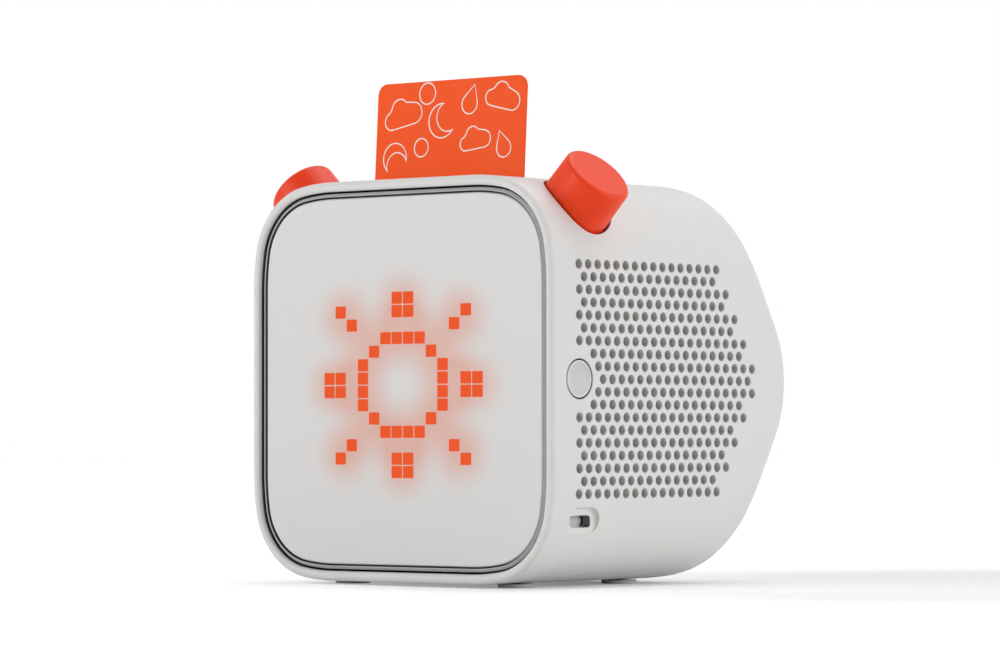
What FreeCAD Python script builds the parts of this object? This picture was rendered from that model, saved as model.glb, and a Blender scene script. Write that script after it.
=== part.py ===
import FreeCAD, Part
import math
import os
import re
import Sketcher

# Audio story player with a pixel display, two corner knobs, a card slot and a perforated side.
# Millimetres. X runs to the right of a viewer who faces the display, Y runs back, Z runs up.
# Pieces are drawn from the middle of the front lip: y is the depth behind the lip and z is the
# height above the middle of the body. The finished model stands on z = 0 with its middle at x = y = 0.

DIMENSIONS = {
    "body_width": 109.0,
    "body_height": 108.4,
    "body_depth": 99.0,
    "wall": 2.7,
    "corner_reach": 29.25,
    "corner_radius": 21.5,
    "blend_radius": 67.0,
    "ridge_radius": 30.0,
    "facet_lean": 29.5,
    "rear_edge_radius": 12.0,
    "opening_depth": 12.0,
    "bezel_recess": 1.0,
    "bezel_gap": 0.5,
    "bezel_rim": 0.95,
    "bezel_flange": 3.0,
    "flange_thickness": 1.5,
    "lens_gap": 0.42,
    "lens_recess": 1.3,
    "lens_thickness": 2.0,
    "gasket_thickness": 0.4,
    "gasket_inset": 0.3,
    "gasket_width": 2.2,
    "diffuser_size": 76.0,
    "led_board_size": 72.0,
    "light_frame_size": 70.0,
    "light_frame_wall": 3.0,
    "light_frame_depth": 3.5,
    "board_thickness": 1.6,
    "chassis_gap": 0.6,
    "chassis_rim": 3.0,
    "chassis_plate": 2.0,
    "chassis_window": 40.0,
    "shelf_thickness": 2.0,
    "shelf_half_width": 43.0,
    "shelf_top": 43.5,
    "shelf_setback": 25.0,
    "stop_width": 6.0,
    "stop_length": 6.0,
    "stop_reach": 46.0,
    "stop_x": 15.0,
    "knob_y": 19.54,
    "knob_tilt": 45.0,
    "knob_top": 76.65,
    "knob_length": 14.05,
    "knob_radius": 9.85,
    "cup_gap": 0.45,
    "cup_wall": 1.8,
    "cup_floor": 2.0,
    "cup_clearance": 1.2,
    "push_travel": 0.5,
    "encoder_body": 12.6,
    "encoder_height": 6.5,
    "encoder_board": 16.0,
    "shaft_radius": 3.0,
    "shaft_gap": 0.05,
    "shaft_hole_gap": 0.5,
    "shaft_depth_in_knob": 9.0,
    "plunger_size": 4.0,
    "plunger_height": 0.8,
    "card_width": 53.98,
    "card_height": 85.6,
    "card_thickness": 0.76,
    "card_corner": 3.18,
    "card_lean": 3.4,
    "card_top_above_body": 27.85,
    "slot_y": 20.64,
    "slot_length": 56.0,
    "slot_width": 2.0,
    "slot_corner": 0.9,
    "guide_gap": 0.27,
    "guide_plate": 1.6,
    "guide_side": 2.2,
    "guide_height": 53.6,
    "guide_stop": 2.0,
    "guide_post_size": 5.0,
    "guide_post_x": 20.0,
    "guide_post_low": 6.0,
    "guide_post_high": 44.0,
    "antenna_size": 34.0,
    "antenna_thickness": 1.0,
    "standoff_size": 4.0,
    "main_board_gap": 4.0,
    "main_board_width": 52.0,
    "main_board_height": 46.0,
    "shield_size": 22.0,
    "shield_height": 2.5,
    "power_y": 11.12,
    "power_hole_radius": 5.35,
    "power_gap": 0.4,
    "power_recess": 0.1,
    "power_flange_radius": 5.75,
    "power_flange_gap": 0.3,
    "power_flange_thickness": 1.2,
    "power_stem_size": 3.6,
    "power_stem_length": 1.8,
    "power_travel": 0.4,
    "switch_size": 6.0,
    "switch_height": 3.5,
    "switch_plunger_size": 2.8,
    "switch_plunger_height": 1.2,
    "switch_play": 0.1,
    "power_board_height": 16.0,
    "power_board_width": 10.0,
    "usb_y": 13.87,
    "usb_drop": 37.4,
    "usb_recess_length": 12.9,
    "usb_recess_height": 7.4,
    "usb_recess_depth": 2.5,
    "usb_floor": 2.0,
    "usb_boss_margin": 1.0,
    "usb_slot_length": 8.4,
    "usb_slot_height": 3.2,
    "usb_slot_corner": 0.95,
    "usb_shell_length": 8.94,
    "usb_shell_height": 3.26,
    "usb_shell_wall": 0.3,
    "usb_shell_depth": 7.3,
    "usb_nose": 1.8,
    "usb_shell_gap": 0.1,
    "usb_tongue_length": 6.69,
    "usb_tongue_height": 0.7,
    "usb_tongue_setback": 0.8,
    "io_board_width": 12.2,
    "io_board_length": 32.0,
    "io_board_gap": 0.3,
    "io_board_lead": 0.8,
    "grille_pitch": 3.875,
    "grille_hole_radius": 1.3,
    "grille_hole_side": 2.3,
    "grille_first": 11.03,
    "grille_margin": 2.6,
    "button_land": 6.4,
    "cloth_thickness": 0.4,
    "cloth_margin": 0.5,
    "speaker_y": 52.0,
    "speaker_gasket_thickness": 1.6,
    "speaker_size": 45.0,
    "speaker_gasket_width": 2.0,
    "speaker_flange_thickness": 1.2,
    "speaker_cone_radius": 19.0,
    "speaker_cone_thickness": 0.8,
    "speaker_cone_setback": 1.0,
    "speaker_basket_size": 42.0,
    "speaker_basket_depth": 9.0,
    "speaker_basket_wall": 1.4,
    "speaker_coil_size": 12.0,
    "speaker_magnet_radius": 13.0,
    "speaker_magnet_height": 6.0,
    "speaker_box_wall": 2.0,
    "speaker_box_side_room": 2.0,
    "speaker_box_head_room": 3.0,
    "speaker_magnet_room": 3.0,
    "speaker_mouth_gap": 0.35,
    "speaker_ear_width": 30.0,
    "speaker_ear_reach": 11.0,
    "speaker_ear_thickness": 1.6,
    "speaker_ear_seat": 3.4,
    "battery_length": 66.0,
    "battery_width": 34.0,
    "battery_height": 15.5,
    "battery_margin": 0.5,
    "foot_radius": 4.8,
    "foot_height": 1.0,
    "foot_x": 29.5,
    "foot_front_y": 14.2,
    "foot_back_y": 57.3,
}
GRILLE_ROWS = 19
GRILLE_LONGEST_ROW = 19
ROUND_SIDES = 16
FULLY_ROUND = 0.49
FEATURE_MARGIN = 10.0
NAME = re.compile(r"[a-z][a-z_]*")

doc = FreeCAD.newDocument("story_player")
sheet = doc.addObject("Spreadsheet::Sheet", "Sizes")
for row, (alias, value) in enumerate(DIMENSIONS.items(), start=1):
    sheet.set(f"A{row}", alias)
    sheet.set(f"B{row}", str(value))
    sheet.setAlias(f"B{row}", alias)
doc.recompute()

Vector = FreeCAD.Vector
Constraint = Sketcher.Constraint
UP = Vector(0, 0, 1)
nodes = {}


def formula(text):
    """A formula in plain names, with each name of a size turned into its cell of the sheet."""
    return NAME.sub(lambda found: f"Sizes.{found[0]}" if found[0] in DIMENSIONS else found[0], str(text))


def value(text):
    """What a formula comes to now."""
    return float(sheet.evalExpression(formula(text).replace("Sizes.", "")))


def bind(thing, **formulas):
    """Ties properties of an object to formulas of the sheet's sizes."""
    for name, text in formulas.items():
        thing.setExpression(name.replace("__", "."), formula(text))


def node(thing, label):
    """Names a finished piece, which is then written to its own file."""
    thing.Label = label
    nodes[label] = thing
    return thing


# Where the pieces' drawing frames stand

HALF_DEPTH = "body_depth / 2"
MIDDLE_HEIGHT = "foot_height + body_height / 2"
CARD_BOTTOM = "body_height / 2 + card_top_above_body - card_height * cos(card_lean)"
CARD_BOTTOM_Y = "slot_y - card_height * sin(card_lean) + card_top_above_body * tan(card_lean)"


def place(thing, x="0", y="0", z="0", axis=None, angle="0"):
    """Places a piece by its drawing position, turned about an axis by an angle in degrees."""
    bind(
        thing,
        Placement__Base__x=x,
        Placement__Base__y=f"({y}) - {HALF_DEPTH}",
        Placement__Base__z=f"({z}) + {MIDDLE_HEIGHT}",
    )
    if axis:
        thing.Placement = FreeCAD.Placement(thing.Placement.Base, FreeCAD.Rotation(axis, 1))
        bind(thing, Placement__Rotation__Angle=angle)
    return thing


def place_in_card_frame(thing, x="0", y="0", z="0"):
    """Places a piece in the leaning frame whose origin is the middle of the card's lower edge."""
    along_y = f"({y}) * cos(card_lean) + ({z}) * sin(card_lean)"
    along_z = f"({z}) * cos(card_lean) - ({y}) * sin(card_lean)"
    return place(
        thing,
        x,
        f"{CARD_BOTTOM_Y} + {along_y}",
        f"{CARD_BOTTOM} + {along_z}",
        Vector(1, 0, 0),
        "-card_lean",
    )


def place_on_knob_axis(thing, side, reach="0"):
    """Places a piece on a knob's axis, which leans outward from the middle of the body."""
    return place(
        thing,
        f"{side} * ({reach}) * sin(knob_tilt)",
        "knob_y",
        f"({reach}) * cos(knob_tilt)",
        Vector(0, 1, 0),
        f"{side} * knob_tilt",
    )


# Simple solids and the operations on them

def box(name, x, y, z, length, depth, height, frame=place):
    """A block given by its middle in x and by its low faces in y and z."""
    block = doc.addObject("Part::Box", name)
    bind(block, Length=length, Width=depth, Height=height)
    return frame(block, f"{x} - ({length}) / 2", y, z)


def cylinder(name, radius, length):
    """A round bar along its own Z axis."""
    bar = doc.addObject("Part::Cylinder", name)
    bind(bar, Radius=radius, Height=length)
    return bar


def bar_along_x(name, radius, side, x, y, z, length):
    """A round bar that runs from a point towards the middle of the body."""
    return place(cylinder(name, radius, length), x, y, z, Vector(0, 1, 0), f"-{side} * 90")


def many_sided(name, radius, length):
    """A nearly round bar with few faces along its own Z axis."""
    bar = doc.addObject("Part::Prism", name)
    bar.Polygon = ROUND_SIDES
    bind(bar, Circumradius=radius, Height=length)
    return bar


def fuse(name, *pieces):
    """Joins pieces into one solid."""
    joined = doc.addObject("Part::MultiFuse", name)
    joined.Shapes = list(pieces)
    return joined


def cut(name, base, *tools):
    """Takes tools away from a base."""
    result = doc.addObject("Part::Cut", name)
    result.Base = base
    result.Tool = tools[0] if len(tools) == 1 else fuse(f"{name}_tools", *tools)
    return result


def common(name, first, second):
    """What two solids share."""
    shared = doc.addObject("Part::Common", name)
    shared.Base = first
    shared.Tool = second
    return shared


def group(name, *pieces):
    """Separate solids kept together as one piece."""
    together = doc.addObject("Part::Compound", name)
    together.Links = list(pieces)
    return together


# Sketches and the features made from them

def new_body(name):
    """An empty body that stands in the drawing frame."""
    return place(doc.addObject("PartDesign::Body", name))


def add_sketch(body, role, name, offset="0"):
    """A sketch on one of the body's own planes, moved along that plane's positive axis."""
    sketch = body.newObject("Sketcher::SketchObject", name)
    plane = next(feature for feature in body.Origin.OriginFeatures if feature.Role == role)
    sketch.AttachmentSupport = [(plane, "")]
    sketch.MapMode = "FlatFace"
    sign = "-" if role == "XZ_Plane" else ""
    bind(sketch, AttachmentOffset__Base__z=f"{sign}({offset})")
    return sketch


def datum(sketch, text, *parts):
    """A dimension of a sketch, tied to a formula."""
    index = sketch.addConstraint(Constraint(*parts))
    sketch.setExpression(f"Constraints[{index}]", formula(text))


def chain(sketch, first, count, kind):
    """Joins each element's end to the next one's start, round a closed loop."""
    for step in range(count):
        following = first + (step + 1) % count
        sketch.addConstraint(Constraint(kind, first + step, 2, following, 1))


def polygon(sketch, corners):
    """A closed outline of straight lines through corners given as pairs of formulas."""
    points = [Vector(value(across), value(along), 0) for across, along in corners]
    first = sketch.GeometryCount
    count = len(points)
    for step, point in enumerate(points):
        sketch.addGeometry(Part.LineSegment(point, points[(step + 1) % count]), False)
    chain(sketch, first, count, "Coincident")
    for step, (across, along) in enumerate(corners):
        datum(sketch, across, "DistanceX", -1, 1, first + step, 1, points[step].x)
        datum(sketch, along, "DistanceY", -1, 1, first + step, 1, points[step].y)


def arc_in_quadrant(centre, radius, start, end, quadrant):
    """An arc of the first quadrant, mirrored into one of the four, always run anticlockwise."""
    across, along = ((1, 1), (-1, 1), (-1, -1), (1, -1))[quadrant]
    angles = [math.atan2(along * math.sin(turn), across * math.cos(turn)) for turn in (start, end)]
    if across * along < 0:
        angles.reverse()
    if angles[1] < angles[0]:
        angles[1] += 2 * math.pi
    middle = Vector(across * centre[0], along * centre[1], 0)
    return Part.ArcOfCircle(Part.Circle(middle, UP, radius), *angles)


def soft_square(sketch, inset="0"):
    """The front view's outline, drawn in from the body's own by an inset.

    Each corner is a tight arc between two long ones, so that the flat sides bend in gradually.
    """
    half_width = value(f"body_width / 2 - ({inset})")
    half_height = value(f"body_height / 2 - ({inset})")
    reach = value(f"corner_reach - ({inset})")
    blend = value(f"blend_radius - ({inset})")
    tight = value(f"corner_radius - ({inset})")
    share = (blend - reach) / (blend - tight)
    sweep = math.acos(share / math.sqrt(2)) - math.pi / 4
    flat_x = half_width - reach
    flat_z = half_height - reach
    side_centre = (half_width - blend, flat_z)
    tight_centre = (
        side_centre[0] + (blend - tight) * math.cos(sweep),
        side_centre[1] + (blend - tight) * math.sin(sweep),
    )
    top_centre = (flat_x, half_height - blend)
    corner = (
        (side_centre, blend, 0, sweep),
        (tight_centre, tight, sweep, math.pi / 2 - sweep),
        (top_centre, blend, math.pi / 2 - sweep, math.pi / 2),
    )
    sides = (
        ((half_width, -flat_z), (half_width, flat_z)),
        ((flat_x, half_height), (-flat_x, half_height)),
        ((-half_width, flat_z), (-half_width, -flat_z)),
        ((-flat_x, -half_height), (flat_x, -half_height)),
    )
    first = sketch.GeometryCount
    for quadrant, (start, end) in enumerate(sides):
        sketch.addGeometry(Part.LineSegment(Vector(*start, 0), Vector(*end, 0)), False)
        ordered = corner if quadrant % 2 == 0 else corner[::-1]
        for centre, radius, begin, finish in ordered:
            sketch.addGeometry(arc_in_quadrant(centre, radius, begin, finish, quadrant), False)
    chain(sketch, first, 16, "Tangent")
    right, top, left, bottom = (first + 4 * quadrant for quadrant in range(4))
    for line, kind in zip((right, top, left, bottom), ("Vertical", "Horizontal") * 2):
        sketch.addConstraint(Constraint(kind, line))
    for line in (right, top, left, bottom):
        if line != right:
            sketch.addConstraint(Constraint("Equal", right + 1, line + 1))
            sketch.addConstraint(Constraint("Equal", right + 2, line + 2))
        sketch.addConstraint(Constraint("Equal", right + 1, line + 3))
    datum(sketch, f"blend_radius - ({inset})", "Radius", right + 1, blend)
    datum(sketch, f"corner_radius - ({inset})", "Radius", right + 2, tight)
    datum(sketch, f"body_width / 2 - ({inset})", "DistanceX", -1, 1, right, 1, half_width)
    datum(sketch, f"body_height / 2 - ({inset})", "DistanceY", -1, 1, top, 1, half_height)
    datum(sketch, f"body_width / 2 - ({inset})", "DistanceX", left, 1, -1, 1, half_width)
    datum(sketch, f"body_height / 2 - ({inset})", "DistanceY", bottom, 1, -1, 1, half_height)
    for here, following in ((right, top), (top, left), (left, bottom), (bottom, right)):
        ends = [(here, 2), (following, 1)]
        for kind, along in (("DistanceX", "x"), ("DistanceY", "y")):
            low, high = sorted(ends, key=lambda end: getattr(sketch.getPoint(*end), along))
            datum(sketch, f"corner_reach - ({inset})", kind, *low, *high, reach)


def rounded_rectangle(sketch, across, along, width, height, radius):
    """A rectangle with round corners about a middle point."""
    middle = (value(across), value(along))
    half = (value(f"({width}) / 2"), value(f"({height}) / 2"))
    bend = value(radius)
    flat = (half[0] - bend, half[1] - bend)
    first = sketch.GeometryCount
    sides = (
        ((half[0], -flat[1]), (half[0], flat[1])),
        ((flat[0], half[1]), (-flat[0], half[1])),
        ((-half[0], flat[1]), (-half[0], -flat[1])),
        ((-flat[0], -half[1]), (flat[0], -half[1])),
    )
    shift = Vector(*middle, 0)
    for quadrant, (start, end) in enumerate(sides):
        sketch.addGeometry(Part.LineSegment(Vector(*start, 0) + shift, Vector(*end, 0) + shift), False)
        arc = arc_in_quadrant(flat, bend, 0, math.pi / 2, quadrant)
        arc.Center = arc.Center + shift
        sketch.addGeometry(arc, False)
    chain(sketch, first, 8, "Tangent")
    right, top, left, bottom = (first + 2 * quadrant for quadrant in range(4))
    for line, kind in zip((right, top, left, bottom), ("Vertical", "Horizontal") * 2):
        sketch.addConstraint(Constraint(kind, line))
        if line != right:
            sketch.addConstraint(Constraint("Equal", right + 1, line + 1))
    datum(sketch, radius, "Radius", right + 1, bend)
    datum(sketch, f"({across}) + ({width}) / 2", "DistanceX", -1, 1, right, 1, middle[0] + half[0])
    datum(sketch, f"({across}) - ({width}) / 2", "DistanceX", -1, 1, left, 1, middle[0] - half[0])
    datum(sketch, f"({along}) + ({height}) / 2", "DistanceY", -1, 1, top, 1, middle[1] + half[1])
    datum(sketch, f"({along}) - ({height}) / 2", "DistanceY", -1, 1, bottom, 1, middle[1] - half[1])


def eight_sided_outline(sketch, wide, high, corner):
    """A rectangle whose corners are cut square to their diagonals, at a reach from the middle."""
    diagonal = f"({corner} * sqrt(2))"
    corners = []
    for across, along in ((1, 1), (-1, 1), (-1, -1), (1, -1)):
        pair = [
            (f"{across} * {wide}", f"{along} * ({diagonal} - {wide})"),
            (f"{across} * ({diagonal} - {high})", f"{along} * {high}"),
        ]
        corners += pair if across * along > 0 else pair[::-1]
    polygon(sketch, corners)


def side_profile(sketch, inset="0"):
    """What lies outside the body's side view, behind a rounded ridge and two leaning facets.

    The ridge is an arc about the body's middle height. Each facet runs from it, tangent, to the arc
    that rounds the body's rear edge into its top or bottom.
    """
    half_height = value(f"body_height / 2 - ({inset})")
    ridge = value(f"ridge_radius - ({inset})")
    edge = value(f"rear_edge_radius - ({inset})")
    ridge_middle = value("body_depth - ridge_radius")
    lean = math.radians(value("facet_lean"))
    facet_start = (ridge_middle + ridge * math.cos(lean), ridge * math.sin(lean))
    edge_z = half_height - edge
    edge_y = ridge_middle + ((ridge - edge) - edge_z * math.sin(lean)) / math.cos(lean)
    facet_end = (edge_y + edge * math.cos(lean), edge_z + edge * math.sin(lean))
    outside = half_height + FEATURE_MARGIN
    behind = ridge_middle + ridge + FEATURE_MARGIN
    quarter = math.pi / 2

    def line(start, end):
        return Part.LineSegment(Vector(*start, 0), Vector(*end, 0))

    def arc(middle, radius, start, end):
        return Part.ArcOfCircle(Part.Circle(Vector(*middle, 0), UP, radius), start, end)

    sketch.addGeometry(
        [
            line((edge_y, outside), (edge_y, half_height)),
            arc((edge_y, edge_z), edge, lean, quarter),
            line(facet_end, facet_start),
            arc((ridge_middle, 0), ridge, -lean, lean),
            line((facet_start[0], -facet_start[1]), (facet_end[0], -facet_end[1])),
            arc((edge_y, -edge_z), edge, -quarter, -lean),
            line((edge_y, -half_height), (edge_y, -outside)),
            line((edge_y, -outside), (behind, -outside)),
            line((behind, -outside), (behind, outside)),
            line((behind, outside), (edge_y, outside)),
        ],
        False,
    )
    for parts in (
        ("Coincident", 0, 2, 1, 2),
        ("Tangent", 1, 1, 2, 1),
        ("Tangent", 2, 2, 3, 2),
        ("Tangent", 3, 1, 4, 1),
        ("Tangent", 4, 2, 5, 2),
        ("Coincident", 5, 1, 6, 1),
        ("Coincident", 6, 2, 7, 1),
        ("Coincident", 7, 2, 8, 1),
        ("Coincident", 8, 2, 9, 1),
        ("Coincident", 9, 2, 0, 1),
        ("Vertical", 0),
        ("Vertical", 6),
        ("Horizontal", 7),
        ("Vertical", 8),
        ("Horizontal", 9),
        ("Vertical", 1, 3, 0, 2),
        ("Vertical", 5, 3, 6, 1),
        ("Equal", 1, 5),
        ("PointOnObject", 3, 3, -1),
    ):
        sketch.addConstraint(Constraint(*parts))
    datum(sketch, f"ridge_radius - ({inset})", "Radius", 3, ridge)
    datum(sketch, f"rear_edge_radius - ({inset})", "Radius", 1, edge)
    datum(sketch, "body_depth - ridge_radius", "DistanceX", -1, 1, 3, 3, ridge_middle)
    datum(sketch, f"body_height / 2 - ({inset})", "DistanceY", -1, 1, 0, 2, half_height)
    datum(sketch, f"body_height / 2 - ({inset})", "DistanceY", 6, 1, -1, 1, half_height)
    datum(sketch, "facet_lean * 1 deg - 90 deg", "Angle", 2, lean - quarter)
    datum(sketch, "-90 deg - facet_lean * 1 deg", "Angle", 4, -quarter - lean)
    datum(sketch, FEATURE_MARGIN, "DistanceY", 0, 2, 0, 1, FEATURE_MARGIN)
    datum(sketch, FEATURE_MARGIN, "DistanceY", 6, 2, 6, 1, FEATURE_MARGIN)
    datum(sketch, f"body_depth - ({inset}) + {FEATURE_MARGIN}", "DistanceX", -1, 1, 8, 1, behind)


def pad(body, sketch, length, name="pad"):
    """Raises a sketch into a solid along its plane's positive axis."""
    feature = body.newObject("PartDesign::Pad", name)
    feature.Profile = sketch
    feature.Reversed = "XZ_Plane" in sketch.AttachmentSupport[0][0].Role
    bind(feature, Length=length)
    return feature


def pocket(body, sketch, depth, name="pocket"):
    """Sinks a sketch into the body along its plane's positive axis."""
    doc.recompute()
    before = body.Shape.Volume
    feature = body.newObject("PartDesign::Pocket", name)
    feature.Profile = sketch
    feature.Reversed = "XZ_Plane" not in sketch.AttachmentSupport[0][0].Role
    bind(feature, Length=depth)
    doc.recompute()
    if body.Shape.Volume >= before:
        raise ValueError(f"{name} cut nothing")
    return feature


# Housing

def envelope(name, inset, start):
    """The body's outer form, drawn in by an inset, from a start behind the front lip."""
    body = new_body(name)
    outline = add_sketch(body, "XZ_Plane", f"{name}_outline", start)
    soft_square(outline, inset)
    pad(body, outline, f"body_depth - ({start})", f"{name}_depth")
    profile = add_sketch(body, "YZ_Plane", f"{name}_profile")
    side_profile(profile, inset)
    rear = body.newObject("PartDesign::Pocket", f"{name}_rear")
    rear.Profile = profile
    rear.Type = "ThroughAll"
    rear.Midplane = True
    return body


def lip_form():
    """The outer form with its front opening."""
    body = envelope("housing_form", "0", "0")
    opening = add_sketch(body, "XZ_Plane", "front_opening")
    soft_square(opening, "wall")
    pocket(body, opening, "opening_depth", "front_mouth")
    return body


CUP_FLOOR_TOP = "(knob_top - knob_length - cup_clearance)"
CUP_RADIUS = "(knob_radius + cup_gap)"
CUP_BOTTOM = f"({CUP_FLOOR_TOP} - cup_floor)"


def knob_cup(side, name):
    """The solid round a knob's recess, on the knob's axis."""
    bar = many_sided(name, f"{CUP_RADIUS} + cup_wall", f"knob_top - {CUP_BOTTOM}")
    return place_on_knob_axis(bar, side, CUP_BOTTOM)


def knob_recess(side, name):
    """The recess itself and the hole in its floor for the encoder's shaft."""
    bore = cylinder(f"{name}_bore", CUP_RADIUS, "knob_length * 2")
    place_on_knob_axis(bore, side, CUP_FLOOR_TOP)
    hole = many_sided(f"{name}_hole", "shaft_radius + shaft_hole_gap", "knob_length")
    place_on_knob_axis(hole, side, f"{CUP_FLOOR_TOP} - knob_length / 2")
    return fuse(name, bore, hole)


def side_prism(name, side, start, length):
    """An empty body whose sketches lie across X, and the sketch to draw on."""
    body = new_body(name)
    offset = start if side > 0 else f"-({start}) - ({length})"
    return body, add_sketch(body, "YZ_Plane", f"{name}_outline", offset)


ROW_PITCH = "(grille_pitch * sqrt(3) / 2)"
WINDOW_TOP = f"({(GRILLE_ROWS - 1) // 2} * {ROW_PITCH} + grille_margin)"
FLAT_TOP = "(body_height / 2 - corner_reach)"


def grille_window(side, name, shrink="0"):
    """A prism round the whole field of holes, from inside the wall to outside it."""
    body, sketch = side_prism(name, side, "body_width / 2 - wall * 2", "wall * 3")
    margin = f"(grille_margin - {shrink})"
    front = f"grille_first - {margin}"
    top = f"({WINDOW_TOP} - {shrink})"
    short_end = f"grille_first + grille_pitch * {GRILLE_LONGEST_ROW - 4} + {margin}"
    long_end = f"grille_first + grille_pitch * {GRILLE_LONGEST_ROW} + {margin}"
    corners = [
        (front, f"-{top}"),
        (short_end, f"-{top}"),
        (long_end, f"-{ROW_PITCH}"),
        (long_end, ROW_PITCH),
        (short_end, top),
        (front, top),
    ]
    polygon(sketch, corners)
    pad(body, sketch, "wall * 3", f"{name}_pad")
    if side < 0:
        return body
    land = bar_along_x(
        f"{name}_land", f"button_land + {shrink}", 1, "body_width", "power_y", "0",
        "body_width / 2 + wall * 2",
    )
    return cut(f"{name}_round_button", body, land)


def side_layer(side, name, outer_inset, inner_inset, shrink="0"):
    """A layer of the side wall within the grille's window.

    It follows the wall with one flat face beside the flat part and one beside each bend.
    """
    body = new_body(name)
    sketch = add_sketch(body, "XZ_Plane", f"{name}_section")

    def flat(inset):
        return f"{side} * (body_width / 2 - ({inset}))"

    def bent(inset):
        rise = f"sqrt((blend_radius - ({inset}))^2 - ({WINDOW_TOP} - {FLAT_TOP})^2)"
        return f"{side} * (body_width / 2 - blend_radius + {rise})"

    corners = [
        (flat(outer_inset), f"-{FLAT_TOP}"),
        (flat(outer_inset), FLAT_TOP),
        (bent(outer_inset), WINDOW_TOP),
        (bent(inner_inset), WINDOW_TOP),
        (flat(inner_inset), FLAT_TOP),
        (flat(inner_inset), f"-{FLAT_TOP}"),
        (bent(inner_inset), f"-{WINDOW_TOP}"),
        (bent(outer_inset), f"-{WINDOW_TOP}"),
    ]
    polygon(sketch, corners if side > 0 else corners[::-1])
    pad(body, sketch, "body_depth", f"{name}_pad")
    return common(f"{name}_in_window", body, grille_window(side, f"{name}_window", shrink))


def hole_centres():
    """Middles of the grille's holes as depth and height: staggered rows that shorten with height.

    Holes too near to the power button are left out.
    """
    pitch = value("grille_pitch")
    row_pitch = value(ROW_PITCH)
    first = value("grille_first")
    clear = value("button_land + grille_hole_radius")
    button = value("power_y")
    half = (GRILLE_ROWS - 1) // 2
    centres = []
    for row_number in range(-half, half + 1):
        shift = 0.5 if row_number % 2 == 0 else 0.0
        last = GRILLE_LONGEST_ROW + 0.5 - abs(row_number) / 2 - 2 * shift
        for step in range(int(last - shift) + 1):
            depth = first + pitch * (shift + step)
            height = row_pitch * row_number
            if shift + step <= last and math.hypot(depth - button, height) >= clear:
                centres.append((depth, height))
    return centres


def hole_bars():
    """One four-sided bar for each hole of the perforated panel, of a round hole's open area."""
    side = value("grille_hole_side")
    start = value("body_width / 2 - wall * 2")
    length = value("wall * 3")
    bars = []
    for depth, height in hole_centres():
        corner = Vector(start, depth - side / 2, height - side / 2)
        bars.append(Part.makeBox(length, side, side, corner))
    bundle = doc.addObject("Part::Feature", "grille_hole_bars")
    bundle.Shape = Part.makeCompound(bars)
    return place(bundle)


def stop_block(name, x, direction):
    """A moulded stop inside the top or bottom wall, behind the chassis plate."""
    height = "body_height / 2 - wall / 2 - stop_reach"
    low = "stop_reach" if direction > 0 else f"-stop_reach - ({height})"
    return box(name, x, PLATE_BACK, low, "stop_width", "stop_length", height)


def speaker_seat(side, name, direction):
    """A moulded seat on the side wall for one ear of a speaker box."""
    reach = f"(body_width / 2 - wall / 2 - ({SPEAKER_BOX_FACE}))"
    low = f"{BOX_HEIGHT} / 2 + speaker_ear_reach - speaker_ear_seat"
    low = low if direction > 0 else f"-({low}) - speaker_ear_seat"
    x = f"{side} * ({SPEAKER_BOX_FACE} + {reach} / 2)"
    front = "speaker_y - speaker_ear_width / 2"
    return box(name, x, front, low, reach, "speaker_ear_width", "speaker_ear_seat")


def build_housing():
    """The one-piece moulded shell."""
    block = envelope("outer_block", "0", "0")
    cavity = envelope("housing_cavity", "wall", "opening_depth / 2")
    shell = cut("housing_walls", lip_form(), cavity)
    usb_boss = block_about_usb(
        "usb_boss", "usb_recess_length + 2 * usb_boss_margin", "usb_recess_height + 2 * usb_boss_margin",
        f"{USB_FLOOR_INSIDE} - usb_nose", "usb_floor + usb_nose",
    )
    blanks = fuse("inner_blanks", knob_cup(1, "right_cup"), knob_cup(-1, "left_cup"), usb_boss)
    cups_and_boss = common("cups_and_boss", block, blanks)
    stops = [
        stop_block("chassis_stop", x, direction) for x in ("stop_x", "-stop_x") for direction in (1, -1)
    ]
    seats = [speaker_seat(side, "speaker_seat", direction) for side in (1, -1) for direction in (1, -1)]
    solid = fuse("housing_solid", shell, cups_and_boss, *stops, *seats)
    openings = [
        knob_recess(1, "right_recess"),
        knob_recess(-1, "left_recess"),
        card_slot(),
        bar_along_x(
            "power_hole", "power_hole_radius", 1, "body_width", "power_y", "0", "body_width / 2 + wall * 2"
        ),
        rounded_about_usb(
            "usb_recess", "usb_recess_length", "usb_recess_height", USB_FLOOR, "usb_recess_depth * 2"
        ),
        rounded_about_usb(
            "usb_slot", "usb_slot_length", "usb_slot_height", f"{USB_FLOOR_INSIDE} - usb_nose",
            "usb_floor + 2 * usb_nose", "usb_slot_corner",
        ),
        block_about_usb(
            "usb_shell_seat", "usb_shell_length + 2 * usb_shell_gap", "usb_shell_height + 2 * usb_shell_gap",
            f"{USB_FLOOR_INSIDE} - 2 * usb_nose", "2 * usb_nose",
        ),
        grille_window(1, "right_window"),
        grille_window(-1, "left_window"),
    ]
    node(cut("housing", solid, *openings), "housing_shell")


# Front: bezel, display plate and light behind it

BEZEL_OUTSIDE = "wall + bezel_gap"
BEZEL_INSIDE = f"{BEZEL_OUTSIDE} + bezel_rim"
LENS_OUTSIDE = f"{BEZEL_INSIDE} + lens_gap"
FLANGE_CORNER = f"({CUP_BOTTOM} - bezel_flange)"
LENS_BACK = "lens_recess + lens_thickness"
GASKET_BACK = f"{LENS_BACK} + gasket_thickness"
FLANGE_BACK = f"{GASKET_BACK} + flange_thickness"
LIGHT_FRAME_BACK = f"{GASKET_BACK} + light_frame_depth"
PLATE_FRONT = f"{LIGHT_FRAME_BACK} + board_thickness"
PLATE_BACK = f"{PLATE_FRONT} + chassis_plate"
SHELF_BACK = "(body_depth - shelf_setback)"


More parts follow.
